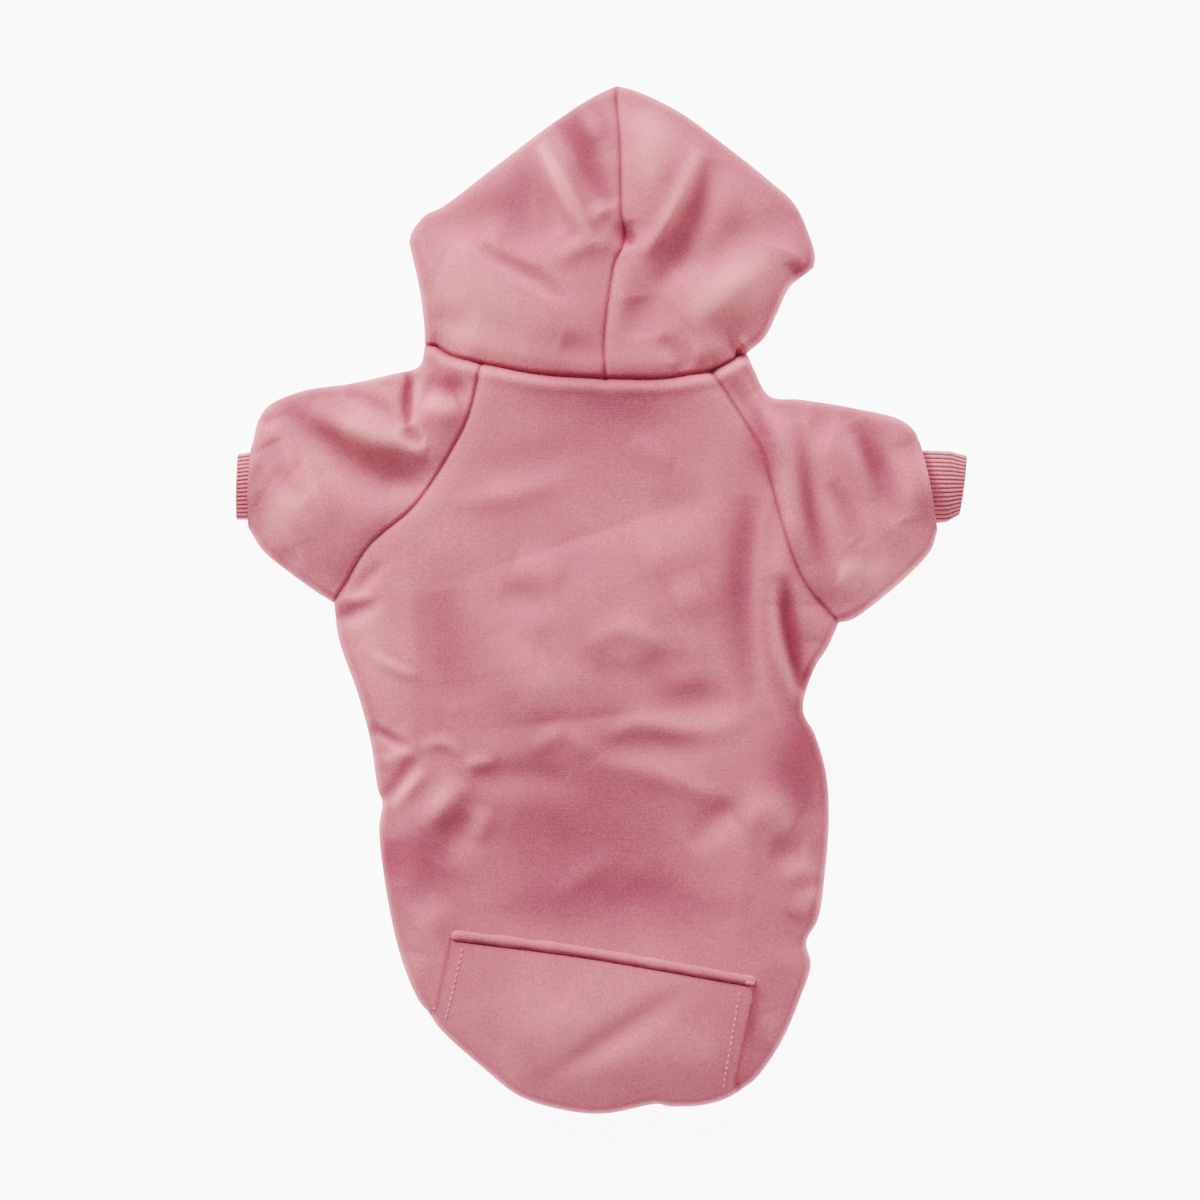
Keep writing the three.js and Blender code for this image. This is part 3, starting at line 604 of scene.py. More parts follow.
RIGHT_SLEEVE_FOLDS = (
    Fold(((728, 384), (744, 398), (760, 424), (768, 442)), -2.4, 5.0),
    Fold(((752, 392), (772, 425), (785, 470), (795, 520), (811, 562)), 4.4, 7.4, -1.2),
    Fold(((796, 424), (808, 478), (814, 524), (824, 560), (838, 582)), -2.8, 6.0),
    Fold(((836, 574), (862, 580)), 2.0, 7.0),
    Fold(((826, 482), (840, 502), (852, 524), (862, 546)), -2.4, 5.0),
    Fold(((858, 420), (873, 455), (886, 487), (900, 520)), -4.4, 8.6),
    Fold(((846, 436), (859, 470), (872, 502)), 1.8, 5.2),
    Fold(((893, 448), (905, 490), (911, 522)), 2.2, 7.0),
    Fold(((850, 542), (866, 560), (884, 558)), -1.4, 7.0),
    Fold(((858, 412), (890, 423), (910, 441)), 1.6, 7.0), Fold(((716, 372), (746, 366)), 1.8, 7.5),
    Fold(((806, 424), (832, 430)), -1.6, 8.0),
    Fold(((868, 590), (900, 566), (922, 540)), 1.6, 7.0),
    Fold(((916, 434), (926, 468), (936, 503), (936, 532)), 2.0, 5.5),
)
BODY_FOLDS = (
    Fold(((560, 545), (590, 640), (600, 715)), 5.0, 56.0),
    Fold(((440, 850), (600, 862), (740, 880)), -4.6, 36.0),
    Fold(((770, 492), (763, 530), (759, 570), (759, 620), (762, 660), (770, 700),
         (781, 736)), 1.0, 3.4, -0.4),
    Fold(((754, 496), (748, 560), (748, 640), (756, 708)), -3.6, 10.0),
    Fold(((788, 512), (780, 560), (777, 604)), 2.2, 7.0),
    Fold(((777, 572), (785, 612), (791, 642), (797, 668), (801, 690)), -4.8, 5.6),
    Fold(((773, 590), (778, 640), (788, 680), (801, 708)), 2.0, 3.6),
    Fold(((812, 604), (814, 640)), 1.8, 7.0),
    Fold(((415, 775), (418, 700), (418, 620), (413, 545)), 0.0, 5.0, 0.6),
    Fold(((440, 590), (450, 650), (460, 705)), -2.4, 13.0),
    Fold(((500, 632), (528, 690), (548, 722)), 2.2, 11.0),
    Fold(((584, 646), (620, 627), (668, 646)), 1.6, 6.0),
    Fold(((592, 668), (640, 672), (694, 657)), -2.0, 9.0),
    Fold(((560, 655), (590, 690), (612, 722)), 1.2, 7.0), Fold(((674, 604), (706, 588)), 1.9, 9.0),
    Fold(((590, 722), (606, 730), (640, 720), (680, 728), (716, 727), (748, 714)), 1.3, 5.6),
    Fold(((620, 692), (680, 700), (740, 690)), -1.8, 8.0),
    Fold(((600, 750), (650, 747), (706, 749)), -2.0, 7.5),
    Fold(((530, 749), (556, 734), (570, 728)), 1.2, 5.2),
    Fold(((570, 728), (580, 740), (597, 754)), 1.1, 5.0),
    Fold(((592, 758), (640, 767), (700, 787), (748, 804)), 1.4, 6.0),
    Fold(((420, 746), (445, 741), (463, 753)), 1.4, 3.4), Fold(((464, 763), (496, 760)), 1.3, 3.6),
    Fold(((470, 780), (520, 774), (570, 778)), -2.0, 7.5),
    Fold(((422, 828), (446, 800), (466, 779)), 2.6, 6.6),
    Fold(((438, 860), (472, 812)), -2.2, 8.0), Fold(((476, 840), (490, 806)), 1.5, 5.0),
    Fold(((738, 818), (765, 805), (794, 820)), 2.8, 9.0),
    Fold(((690, 846), (720, 815), (754, 796)), -2.2, 7.0),
    Fold(((766, 852), (804, 852)), -2.4, 8.5),
    Fold(((780, 876), (800, 870), (818, 877)), 1.5, 5.5),
    Fold(((793, 916), (805, 900), (819, 887)), 2.2, 5.2),
    Fold(((556, 892), (598, 864), (620, 852)), 1.0, 5.6),
    Fold(((600, 905), (660, 890), (700, 905)), -1.4, 9.0),
    Fold(((368, 724), (390, 738), (413, 748)), -1.8, 3.0, -1.2),
    Fold(((377, 760), (395, 756), (412, 746)), 1.6, 3.6),
    Fold(((382, 806), (398, 782), (419, 758)), -2.6, 3.8),
    Fold(((388, 808), (406, 790), (426, 769)), 1.8, 4.2),
    Fold(((333, 622), (352, 612), (378, 602)), -2.6, 4.2),
    Fold(((344, 597), (376, 597)), 1.7, 3.6),
    Fold(((386, 562), (366, 579), (348, 597)), -1.3, 3.2),
    Fold(((372, 652), (396, 668), (419, 677)), 1.3, 3.0, 0.6),
    Fold(((360, 640), (385, 700), (398, 722)), 1.6, 10.0),
    Fold(((450, 502), (500, 497), (566, 478)), 1.3, 6.0),
    Fold(((470, 470), (540, 462), (600, 440)), -1.2, 9.0),
    Fold(((630, 440), (674, 463)), 1.3, 6.5), Fold(((515, 558), (564, 577)), 1.8, 9.0),
    Fold(((498, 594), (550, 602)), -1.9, 8.0), Fold(((640, 565), (706, 545)), 1.6, 10.0),
    Fold(((650, 512), (712, 500)), -1.3, 9.0), Fold(((395, 884), (390, 838)), -1.8, 9.0),
    Fold(((408, 990), (420, 952)), 1.8, 8.0), Fold(((420, 930), (455, 902)), 1.6, 8.0),
    Fold(((766, 1010), (772, 1046)), 1.5, 6.5),
    Fold(((684, 986), (604, 1036), (534, 1076)), -1.6, 6.5, -0.8),
    Fold(((640, 985), (560, 1025), (500, 1040)), 1.2, 10.0),
)


@dataclass(frozen=True)
class PaintedLightStroke:
    """A stroke of painted light, over nought, or painted shade, below nought, in the cloth's tone.
    """

    places: tuple[tuple[float, float], ...]
    amount: float
    width: float

    def change(self, places: Plan) -> np.ndarray:
        """How much it changes the tone at places."""
        run = stepped([seen(*place) for place in self.places], 2 * len(self.places))
        away, _, passed = near_run(places, run)
        taper = 0.4 + 0.6 * np.sin(math.pi * passed)
        return self.amount * taper * fade(away / (self.width * taper))


# Strokes of painted light and painted shade: places, amount over or below nought, and half width
# in millimetres.
PAINTED_LIGHT_STROKES = (
    PaintedLightStroke(((430, 300), (520, 325)), 0.16, 16), PaintedLightStroke(((690, 310), (780, 275)), 0.18, 16),
    PaintedLightStroke(((640, 120), (655, 190)), 0.14, 12), PaintedLightStroke(((500, 205), (545, 235)), -0.12, 10),
    PaintedLightStroke(((585, 140), (612, 205)), -0.16, 8), PaintedLightStroke(((690, 235), (640, 300)), -0.16, 8),
    PaintedLightStroke(((740, 195), (700, 250)), -0.12, 12), PaintedLightStroke(((784, 266), (806, 270)), -0.46, 3.4),
    PaintedLightStroke(((270, 500), (320, 540)), 0.14, 16), PaintedLightStroke(((430, 402), (458, 402)), 0.06, 7),
    PaintedLightStroke(((434, 380), (462, 384)), -0.22, 6), PaintedLightStroke(((382, 440), (422, 448)), 0.08, 5),
    PaintedLightStroke(((330, 450), (420, 482)), -0.12, 6), PaintedLightStroke(((409, 376), (408, 428)), -0.6, 2),
    PaintedLightStroke(((830, 560), (880, 590)), 0.14, 12), PaintedLightStroke(((865, 440), (895, 508)), -0.18, 7),
    PaintedLightStroke(((784, 580), (800, 690)), -0.5, 5), PaintedLightStroke(((744, 500), (742, 705)), -0.26, 9),
    PaintedLightStroke(((480, 420), (720, 430)), -0.10, 30), PaintedLightStroke(((355, 620), (400, 720)), 0.04, 12),
    PaintedLightStroke(((455, 600), (465, 710)), -0.14, 12), PaintedLightStroke(((510, 640), (590, 715)), 0.12, 10),
    PaintedLightStroke(((600, 640), (660, 640)), 0.08, 8), PaintedLightStroke(((650, 675), (725, 700)), -0.08, 10),
    PaintedLightStroke(((410, 880), (440, 820)), -0.16, 12), PaintedLightStroke(((430, 815), (460, 785)), 0.14, 7),
    PaintedLightStroke(((480, 800), (700, 850)), -0.16, 34), PaintedLightStroke(((755, 812), (795, 820)), 0.16, 9),
    PaintedLightStroke(((740, 860), (790, 850)), -0.10, 9), PaintedLightStroke(((800, 720), (815, 850)), -0.12, 10),
    PaintedLightStroke(((480, 1010), (700, 1050)), 0.12, 26), PaintedLightStroke(((630, 230), (630, 246)), -0.4, 2.4),
    PaintedLightStroke(((740, 353), (750, 355)), -0.5, 2), PaintedLightStroke(((592, 105), (582, 160)), -0.38, 13),
    PaintedLightStroke(((500, 190), (540, 200)), -0.16, 11), PaintedLightStroke(((412, 830), (402, 905)), -0.36, 22),
    PaintedLightStroke(((808, 690), (795, 760), (800, 820)), -0.38, 14), PaintedLightStroke(((500, 905), (740, 905)), -0.22, 13),
    PaintedLightStroke(((288, 412), (350, 414)), -0.28, 8), PaintedLightStroke(((757, 415), (770, 480)), -0.40, 9),
    PaintedLightStroke(((700, 318), (768, 285)), -0.03, 14), PaintedLightStroke(((440, 384), (472, 390)), -0.24, 7),
    PaintedLightStroke(((800, 430), (814, 520), (832, 580)), -0.12, 5), PaintedLightStroke(((262, 458), (250, 486)), -0.3, 3.5),
    PaintedLightStroke(((540, 148), (565, 195), (588, 236)), 0.15, 3.6),
    PaintedLightStroke(((562, 130), (590, 175), (608, 212)), -0.2, 6), PaintedLightStroke(((520, 640), (600, 715)), 0.04, 8),
    PaintedLightStroke(((600, 642), (655, 638)), 0.04, 8), PaintedLightStroke(((640, 672), (725, 702)), -0.12, 8),
    PaintedLightStroke(((560, 770), (680, 790)), -0.12, 14), PaintedLightStroke(((470, 256), (560, 296)), -0.14, 4),
    PaintedLightStroke(((730, 250), (690, 262)), -0.1, 9), PaintedLightStroke(((340, 600), (352, 614)), -0.2, 5),
    PaintedLightStroke(((400, 560), (402, 740)), 0.04, 9), PaintedLightStroke(((436, 560), (438, 740)), -0.12, 8),
    PaintedLightStroke(((450, 885), (740, 885)), -0.14, 30), PaintedLightStroke(((848, 420), (885, 470)), -0.16, 8),
    PaintedLightStroke(((735, 560), (715, 640)), -0.1, 12), PaintedLightStroke(((600, 400), (640, 470)), -0.1, 30),
    PaintedLightStroke(((500, 520), (640, 500)), -0.06, 26), PaintedLightStroke(((700, 250), (690, 215)), 0.08, 8),
    PaintedLightStroke(((838, 575), (905, 570)), 0.2, 12), PaintedLightStroke(((520, 395), (690, 395)), -0.1, 10),
)


class ClothSurface:
    """The height of the cloth on top, everywhere on the garment."""

    raglan_dip = 0.9
    neck_groove = 1.9
    seam_groove = 1.1
    groove_spread = 1.1
    neck_puff = 1.5
    wrinkle_height = 0.35
    open_tone = 0.55
    hollow_shade = 0.3
    neck_shade, neck_shade_width = 0.5, 1.3
    raglan_shade, raglan_shade_width = 0.35, 0.9
    pocket_shade, pocket_shade_width = 0.26, 0.9

    def __init__(self, pattern: Pattern) -> None:
        """Places every fold.

        Args:
            pattern: The garment's runs.
        """
        self.pattern = pattern
        self.folds = (*HOOD_FOLDS, *BODY_FOLDS, *LEFT_SLEEVE_FOLDS, *RIGHT_SLEEVE_FOLDS)
        left, right = pattern.left, pattern.right
        self.neckline = joined(left.back_bit, pattern.back_neck, right.back_bit[::-1])
        self.raglans = [left.back_raglan, right.back_raglan, pattern.crown_seam]

    @staticmethod
    def _nearest(places: Plan, runs: Iterable[Plan]) -> np.ndarray:
        """How far each place is from the nearest of some runs."""
        return np.min([near_run(places, run[::4])[0] for run in runs], axis=0)

    def _wrinkles(self, places: Plan) -> np.ndarray:
        """Small uneven waves of the cloth, in millimetres."""
        broad = [noise.noise(Vector((x / 23, y / 23, 3.1))) for x, y in places]
        fine = [noise.noise(Vector((x / 8, y / 8, 8.7))) for x, y in places]
        return self.wrinkle_height * (np.array(broad) + 0.3 * np.array(fine))

    def _folded(self, places: Plan) -> np.ndarray:
        """The height of all folds together, in millimetres."""
        return sum(fold.height(places) for fold in self.folds)

    def height(self, places: Plan) -> np.ndarray:
        """The height of the cloth's outer face.

        Args:
            places: An array whose last axis holds plan places.

        Returns:
            Heights in millimetres, one for each place.
        """
        flat = places.reshape(-1, 2)
        inner = [
            1 - fade(near_run(flat, run[::4])[0] / SIZES.edge_spread) for run in self.pattern.edges
        ]
        edge = 1 - np.prod(inner, axis=0)
        neck, side, _ = near_run(flat, self.neckline[::2])
        raglan = self._nearest(flat, self.raglans)
        height = (SIZES.loft + self._folded(flat)) * (1 - SIZES.edge_fall * edge)
        height -= SIZES.seam_dip * fade(neck / SIZES.seam_spread)
        height -= self.raglan_dip * fade(raglan / SIZES.seam_spread)
        height -= self.neck_groove * fade(neck / self.groove_spread)
        height -= self.seam_groove * fade(raglan / self.groove_spread)
        height += self.neck_puff * fade((neck - 4) / 3) * (side < 0)
        height += self._wrinkles(flat) * (1 - 0.6 * edge)
        return height.reshape(places.shape[:-1])

    def tone(self, places: Plan) -> np.ndarray:
        """The cloth's painted tone: about a half on open cloth, with painted shade in creases,
        along the seams and along the welt's foot and the pocket's slits, painted light on ridges,
        and painted light and shade from the strokes.

        Args:
            places: An array whose last axis holds plan places.

        Returns:
            Values from nought to one, one for each place.
        """
        flat = places.reshape(-1, 2)
        around = [(3.0, 0.0), (-3.0, 0.0), (0.0, 3.0), (0.0, -3.0)]
        # hollow is how far the folds dip below their surroundings: painted shade in creases,
        # painted light on ridges.
        hollow = sum(self._folded(flat + np.array(off)) for off in around) / 4 - self._folded(flat)
        neck = near_run(flat, self.neckline[::2])[0]
        raglan = self._nearest(flat, self.raglans)
        pocket = self._nearest(flat, self.pattern.pocket_lines)
        strokes = sum(stroke.change(flat) for stroke in PAINTED_LIGHT_STROKES)
        tone = self.open_tone - self.hollow_shade * hollow + strokes
        tone -= (
            self.neck_shade * fade(neck / self.neck_shade_width)
            + self.raglan_shade * fade(raglan / self.raglan_shade_width)
        )
        tone -= self.pocket_shade * fade(pocket / self.pocket_shade_width)
        return np.clip(tone, 0, 1).reshape(places.shape[:-1])


def pick_only(*objects: bpy.types.Object) -> None:
    """Selects these objects alone, with the first one active."""
    for other in list(bpy.context.selected_objects):
        other.select_set(False)
    for chosen in objects:
        chosen.select_set(True)
    bpy.context.view_layer.objects.active = objects[0]


def rename(obj: bpy.types.Object, name: str) -> bpy.types.Object:
    """Gives an object and its mesh their name."""
    obj.name = name
    obj.data.name = name
    return obj


@dataclass
class Patch:
    """A grid of cloth: outer points, their places on the flat cloth in millimetres, and tones."""

    points: np.ndarray
    cloth: np.ndarray
    tone: np.ndarray

    def reversed(self) -> "Patch":
        """The patch with its rows in the other order, so that it faces the other way."""
        return Patch(self.points[::-1], self.cloth[::-1], self.tone[::-1])

    def mesh(self, shift: np.ndarray) -> bpy.types.Object:
        """Adds a grid and moves its vertices to the patch's points.

        Args:
            shift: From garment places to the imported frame, in millimetres.

        Returns:
            The new object, with its flat places as UV in metres.
        """
        rows, columns = self.points.shape[:2]
        bpy.ops.object.select_all(action="DESELECT")
        bpy.ops.mesh.primitive_grid_add(
            x_subdivisions=columns - 1, y_subdivisions=rows - 1, size=1, calc_uvs=True)
        grid = bpy.context.object
        moved = (self.points + shift) * MM
        grid.data.vertices.foreach_set("co", moved.reshape(-1))
        corner = np.zeros(len(grid.data.loops), int)
        grid.data.loops.foreach_get("vertex_index", corner)
        flat = self.cloth.reshape(-1, 2)[corner] * MM
        grid.data.uv_layers.active.data.foreach_set("uv", flat.reshape(-1))
        # The painted light and shade tone, kept on the mesh for the finish.
        shade = grid.data.attributes.new("painted_light_tone", "FLOAT", "POINT")
        shade.data.foreach_set("value", self.tone.reshape(-1).astype(np.float32))
        grid.data.update()
        return grid


def wound_up(patch: Patch, columns: slice = slice(None)) -> Patch:
    """The patch with its rows in the order that makes some of its columns face up."""
    points = patch.points[:, columns]
    down = points[1:, :-1] - points[:-1, :-1]
    across = points[:-1, 1:] - points[:-1, :-1]
    facing = np.cross(across, down)[..., 2].mean()
    if facing >= 0:
        return patch
    return patch.reversed()


class Piece:
    """A sewn piece: its mesh, its cloth facts and its finish."""

    name = "piece"
    node = "piece"
    slot = "fleece"
    grain = 0.0
    hold = Hold.LAID
    rests_on: tuple[str, ...] = ()
    rim_shade = 0.4
    allowance = 0.8

    def __init__(self, pattern: Pattern, surface: ClothSurface) -> None:
        """Keeps what the piece is cut from.

        Args:
            pattern: The garment's runs.
            surface: The cloth's height on top.
        """
        self.pattern = pattern
        self.surface = surface

    def turned(self, places: Plan) -> Plan:
        """Flat places turned so that the knit's wales run along V."""
        turn = math.radians(self.grain)
        c, s = math.cos(turn), math.sin(turn)
        return places @ np.array([[c, s], [-s, c]])

    def top(self, places: Plan, rise: np.ndarray | float = 0.0) -> Patch:
        """The upper cloth over a grid of plan places."""
        height = self.surface.height(places) + rise
        points = np.concatenate([places, height[..., None]], axis=-1)
        return wound_up(Patch(points, self.turned(places), self.surface.tone(places)))

    def under(
        self, edge: Plan, out: Plan, high: np.ndarray, runs: Plan,
        raised: np.ndarray | float = 0.0,
    ) -> Patch:
        """The strip that leaves the upper cloth, rolls under and runs on along the floor.

        Args:
            edge: Where the roll starts, in plan.
            out: The way out at each of these places.
            high: The upper cloth's height there.
            runs: Rows of plan places beneath, from the edge inwards.
            raised: How far it lies inside the outline and above the floor, at each place.

        Returns:
            The strip, one row for each place of the edge.
        """
        angles = np.linspace(0, math.pi, STEPS.roll + 1)[None]
        low = np.broadcast_to(raised, len(edge))[:, None]
        half = (high[:, None] - low) / 2
        flat = edge[:, None] + out[:, None] * ((SIZES.roll - low) * np.sin(angles))[..., None]
        rise = low + half + half * np.cos(angles)
        roll = np.concatenate([flat, rise[..., None]], axis=-1)
        level = np.broadcast_to(low[..., None], runs[:, 1:, :1].shape)
        ground = np.concatenate([runs[:, 1:], level], axis=-1)
        points = np.concatenate([roll, ground], axis=1)
        lengths = np.linalg.norm(np.diff(points, axis=1), axis=-1).cumsum(axis=1)
        lengths = np.concatenate([np.zeros((len(edge), 1)), lengths], axis=1)
        cloth = edge[:, None] + out[:, None] * lengths[..., None]
        tone = np.repeat(self.surface.tone(edge)[:, None], points.shape[1], axis=1)
        shaded = self.rim_shade * np.clip(np.arange(points.shape[1]) / (STEPS.roll / 2), 0, 1)
        strip = Patch(points, self.turned(cloth), np.clip(tone - shaded, 0, 1))
        return wound_up(strip, slice(0, 3))

    def tucked(self, patch: Patch, toward: Plan | None = None) -> Patch:
        """The patch with a seam allowance before its first row, just under the next piece.

        Args:
            patch: The upper cloth of the piece, whose first row lies along the seam.
            toward: The first row's places, where the patch's rows run the other way.

        Returns:
            The patch with one more row.
        """
        first_is_seam = toward is None or np.allclose(patch.points[0, :, :2], toward)
        points = patch.points if first_is_seam else patch.points[::-1]
        away = points[0, :, :2] - points[1, :, :2]
        away = away / np.linalg.norm(away, axis=1)[:, None] * self.allowance
        hidden = points[0] + np.column_stack([away, np.full(len(away), -self.allowance * 1.4)])
        order = slice(None) if first_is_seam else slice(None, None, -1)
        cloth, tone = patch.cloth[order], patch.tone[order]
        made = Patch(
            np.concatenate([hidden[None], points]),
            np.concatenate([(2 * cloth[0] - cloth[1])[None], cloth]),
            np.concatenate([tone[:1], tone]),
        )
        return made if first_is_seam else made.reversed()

    def beneath(self, places: Plan, height: float) -> Patch:
        """Cloth that lies flat at one height, facing up.

        Args:
            places: A grid of plan places.
            height: The height of its outer face in millimetres.

        Returns:
            The patch.
        """
        points = np.concatenate([places, np.full(places[..., :1].shape, height)], axis=-1)
        return wound_up(Patch(points, self.turned(places), np.full(places.shape[:2], 0.5)))

    def sewn(self, patches: Sequence[Patch], wall: float) -> bpy.types.Object:
        """Joins patches at their shared edges and gives the cloth its wall.

        Args:
            patches: The piece's grids, which share their border points.
            wall: The cloth's thickness in millimetres.

        Returns:
            The finished mesh object.
        """
        grids = [patch.mesh(self.pattern.shift) for patch in patches]
        pick_only(*grids)
        if len(grids) > 1:
            bpy.ops.object.join()
        sheet = bpy.context.object
        bpy.ops.object.mode_set(mode="EDIT")
        bpy.ops.mesh.select_all(action="SELECT")
        bpy.ops.mesh.remove_doubles(threshold=2e-6)
        bpy.ops.object.mode_set(mode="OBJECT")
        solid = sheet.modifiers.new("wall", "SOLIDIFY")
        solid.thickness = wall * MM
        solid.offset = -1
        solid.use_even_offset = False
        bpy.ops.object.modifier_apply(modifier=solid.name)
        for vertex in sheet.data.vertices:
            vertex.co.z = max(vertex.co.z, 0.0)
        bpy.ops.object.shade_smooth_by_angle(angle=math.radians(50))
        return rename(sheet, self.name)

    def build(self) -> bpy.types.Object:
        """Makes the piece's mesh."""
        raise NotImplementedError

    def dress(self, obj: bpy.types.Object, material: bpy.types.Material) -> None:
        """Gives the piece its finish, hangs it under the root empty and hides the imported part
        that it stands for, if any.

        Args:
            obj: The piece.
            material: Its finish.
        """
        obj.data.materials.clear()
        obj.data.materials.append(material)
        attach(obj, "root")
        if self.node:
            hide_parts(self.node)

    def declare(self, obj: bpy.types.Object, flat: tuple[float, float], area: float) -> None:
        """Args:
            obj: The piece; not used.
            flat: Width and length of its cut, in metres; not used.
            area: Area of its cut, in square metres; not used.
        """


class BackPanel(Piece):
    """The back, from raglan to raglan, turned under along both flanks and the tail."""

    name = "back_cloth"
    node = "back_panel"
    grain = 90.0
    rests_on = ("belly_cloth",)

    def build(self) -> bpy.types.Object:
        """Makes the back and its turned edge."""
        edge = self.pattern.edge
        last = len(edge.inset) - 1
        left = joined(self.pattern.left.back_raglan, edge.inset[: STEPS.side + 1])
        right = joined(self.pattern.right.back_raglan, edge.inset[last - STEPS.side:][::-1])
        tail = edge.inset[STEPS.side: STEPS.side + STEPS.back + 1]
        places = relaxed(filled(self.pattern.back_neck, tail, left, right))
        upper = self.top(places)
        high = self.surface.height(edge.inset)
        share = np.linspace(0, 1, STEPS.turn + 1)[None, :, None]
        runs = edge.inset[:, None] * (1 - share) + self.pattern.turn_end[:, None] * share
        count = np.arange(last + 1)
        into_tail = np.minimum(count - STEPS.side, STEPS.side + STEPS.back - count)
        raised = (SIZES.pocket_wall + POCKET_GAP) * np.clip(into_tail / 3, 0, 1)
        strips = self.under(edge.inset, edge.out, high, runs, raised)
        return self.sewn([upper, strips], SIZES.wall)


class BellyPanel(Piece):
    """The belly, flat on the floor between the turned edges of the back."""

    name = "belly_cloth"
    node = "belly_panel"

    def build(self) -> bpy.types.Object:
        """Makes the belly."""
        left_runs, right_runs = self.pattern.left, self.pattern.right
        turn_end = self.pattern.turn_end
        last = len(turn_end) - 1
        left = joined(left_runs.front_raglan, turn_end[: STEPS.hem_at + 1])[::3]
        right = joined(right_runs.front_raglan, turn_end[last - STEPS.hem_at:][::-1])[::3]
        neck = joined(left_runs.front_neck, right_runs.front_neck[::-1])
        hem = stepped([left[-1], right[-1]], len(neck) - 1)
        places = filled(neck, hem, left, right)
        return self.sewn([self.beneath(places, SIZES.wall)], SIZES.wall)


class SidePiece(Piece):
    """A piece with a twin on the other side."""

    stem = "piece"
    ending = "cloth"

    def __init__(self, pattern: Pattern, surface: ClothSurface, runs: SideRuns) -> None:
        """Keeps the piece's own side and takes its names from it.

        Args:
            pattern: The garment's runs.
            surface: The cloth's height on top.
            runs: The side that the piece is on.
        """
        super().__init__(pattern, surface)
        self.runs = runs
        self.side_name = runs.pattern.side.name.lower()
        self.node = f"{self.stem}_{self.side_name}"
        self.name = f"{self.node}_{self.ending}"


class SleevePiece(SidePiece):
    """One sleeve: a tube from the neck and the raglans to its mouth."""

    stem = "sleeve"
    grain = 90.0

    def build(self) -> bpy.types.Object:
        """Makes the sleeve's upper cloth, its two rolled edges and its lower cloth."""
        runs = self.runs
        upper, lower = runs.upper_edge, runs.lower_edge
        above_first = joined(runs.back_bit, runs.back_raglan)
        below_first = joined(runs.front_bit, runs.front_raglan, runs.under_arm)
        mouth = stepped([upper.inset[-1], lower.inset[-1]], len(above_first) - 1)
        rounds = runs.pattern.sleeve_rounds
        above = relaxed(filled(above_first, mouth, upper.inset, lower.inset), rounds)
        below = relaxed(filled(below_first, mouth, upper.inset, lower.inset), rounds)
        patches = [self.tucked(self.top(above), above_first)]
        for edge in (upper, lower):
            high = self.surface.height(edge.inset)
            patches.append(self.under(edge.inset, edge.out, high, edge.inset[:, None]))
        patches.append(self.beneath(below, 0.0).reversed())
        return self.sewn(patches, SIZES.wall)


class HoodPiece(SidePiece):
    """One half of the hood: crown seam to outline, over the roll, and under to the rim."""

    stem = "hood"

    def __init__(
        self, pattern: Pattern, surface: ClothSurface, runs: SideRuns, neck_half: Plan,
    ) -> None:
        """Keeps the half's own side.

        Args:
            pattern: The garment's runs.
            surface: The cloth's height on top.
            runs: The side that the half is on.
            neck_half: Its half of the back neck seam, from the raglan to the middle.
        """
        super().__init__(pattern, surface, runs)
        self.neck_half = neck_half
        self.grain = -35.0 if runs.pattern.side is Side.RIGHT else 0.0

    def build(self) -> bpy.types.Object:
        """Makes the half's upper cloth and the strip that turns under to the rim."""
        runs, edge = self.runs, self.runs.hood_edge
        neck = joined(runs.back_bit, self.neck_half)
        places = relaxed(filled(
            neck, edge.inset[STEPS.hood:], edge.inset[: STEPS.hood + 1], self.pattern.crown_seam))
        upper = self.tucked(self.top(places), neck)
        count = len(edge.inset) - 1
        rim_places = [SIZES.on_hood(*place) for place in runs.pattern.rim]
        rim_peak = SIZES.on_hood(*RIM_PEAK)
        rim = stepped([self.pattern.chin, *rim_places, rim_peak], count)
        front = joined(runs.front_bit, runs.front_neck)
        peak_run = stepped([self.pattern.peak_inset, rim_peak], len(front) - 1)
        flats = relaxed(filled(front, peak_run, edge.inset, rim))
        high = self.surface.height(edge.inset)
        strips = self.under(edge.inset, edge.out, high, flats)
        return self.sewn([upper, strips], SIZES.wall)


class PocketPiece(Piece):
    """The pouch over the tail, open at both slanted sides."""

    name = "pocket_cloth"
    node = "pocket"
    puff = 1.6
    stitch_columns = (6, -7)

    def build(self) -> bpy.types.Object:
        """Makes the pouch from under the welt to the turned edge at the tail."""
        edge = self.pattern.edge
        line = self.pattern.welt_line
        mouth = line + ways_out(line, -1) * -(WELT_WIDTH / 2 + POCKET_GAP)
        span = slice(STEPS.side, STEPS.side + STEPS.back + 1)
        tail = edge.inset[span]
        left = stepped([mouth[0], tail[0]], STEPS.pocket)
        right = stepped([mouth[-1], tail[-1]], STEPS.pocket)
        places = relaxed(filled(mouth, tail, left, right))
        u = np.linspace(0, math.pi, places.shape[1])[None]
        v = np.linspace(0, math.pi, places.shape[0])[:, None]
        stack = SIZES.pocket_wall + POCKET_GAP
        rise = stack + self.puff * np.sin(u) * np.sin(v)
        upper = self.top(places, rise)
        high = self.surface.height(tail) + rise[-1]
        share = np.linspace(0, 1, STEPS.turn + 1)[None, :, None]
        runs = tail[:, None] * (1 - share) + self.pattern.turn_end[span][:, None] * share
        strips = self.under(tail, edge.out[span], high, runs)
        self.stitch_runs = [upper.points[:, column] for column in self.stitch_columns]
        return self.sewn([upper, strips], SIZES.pocket_wall)


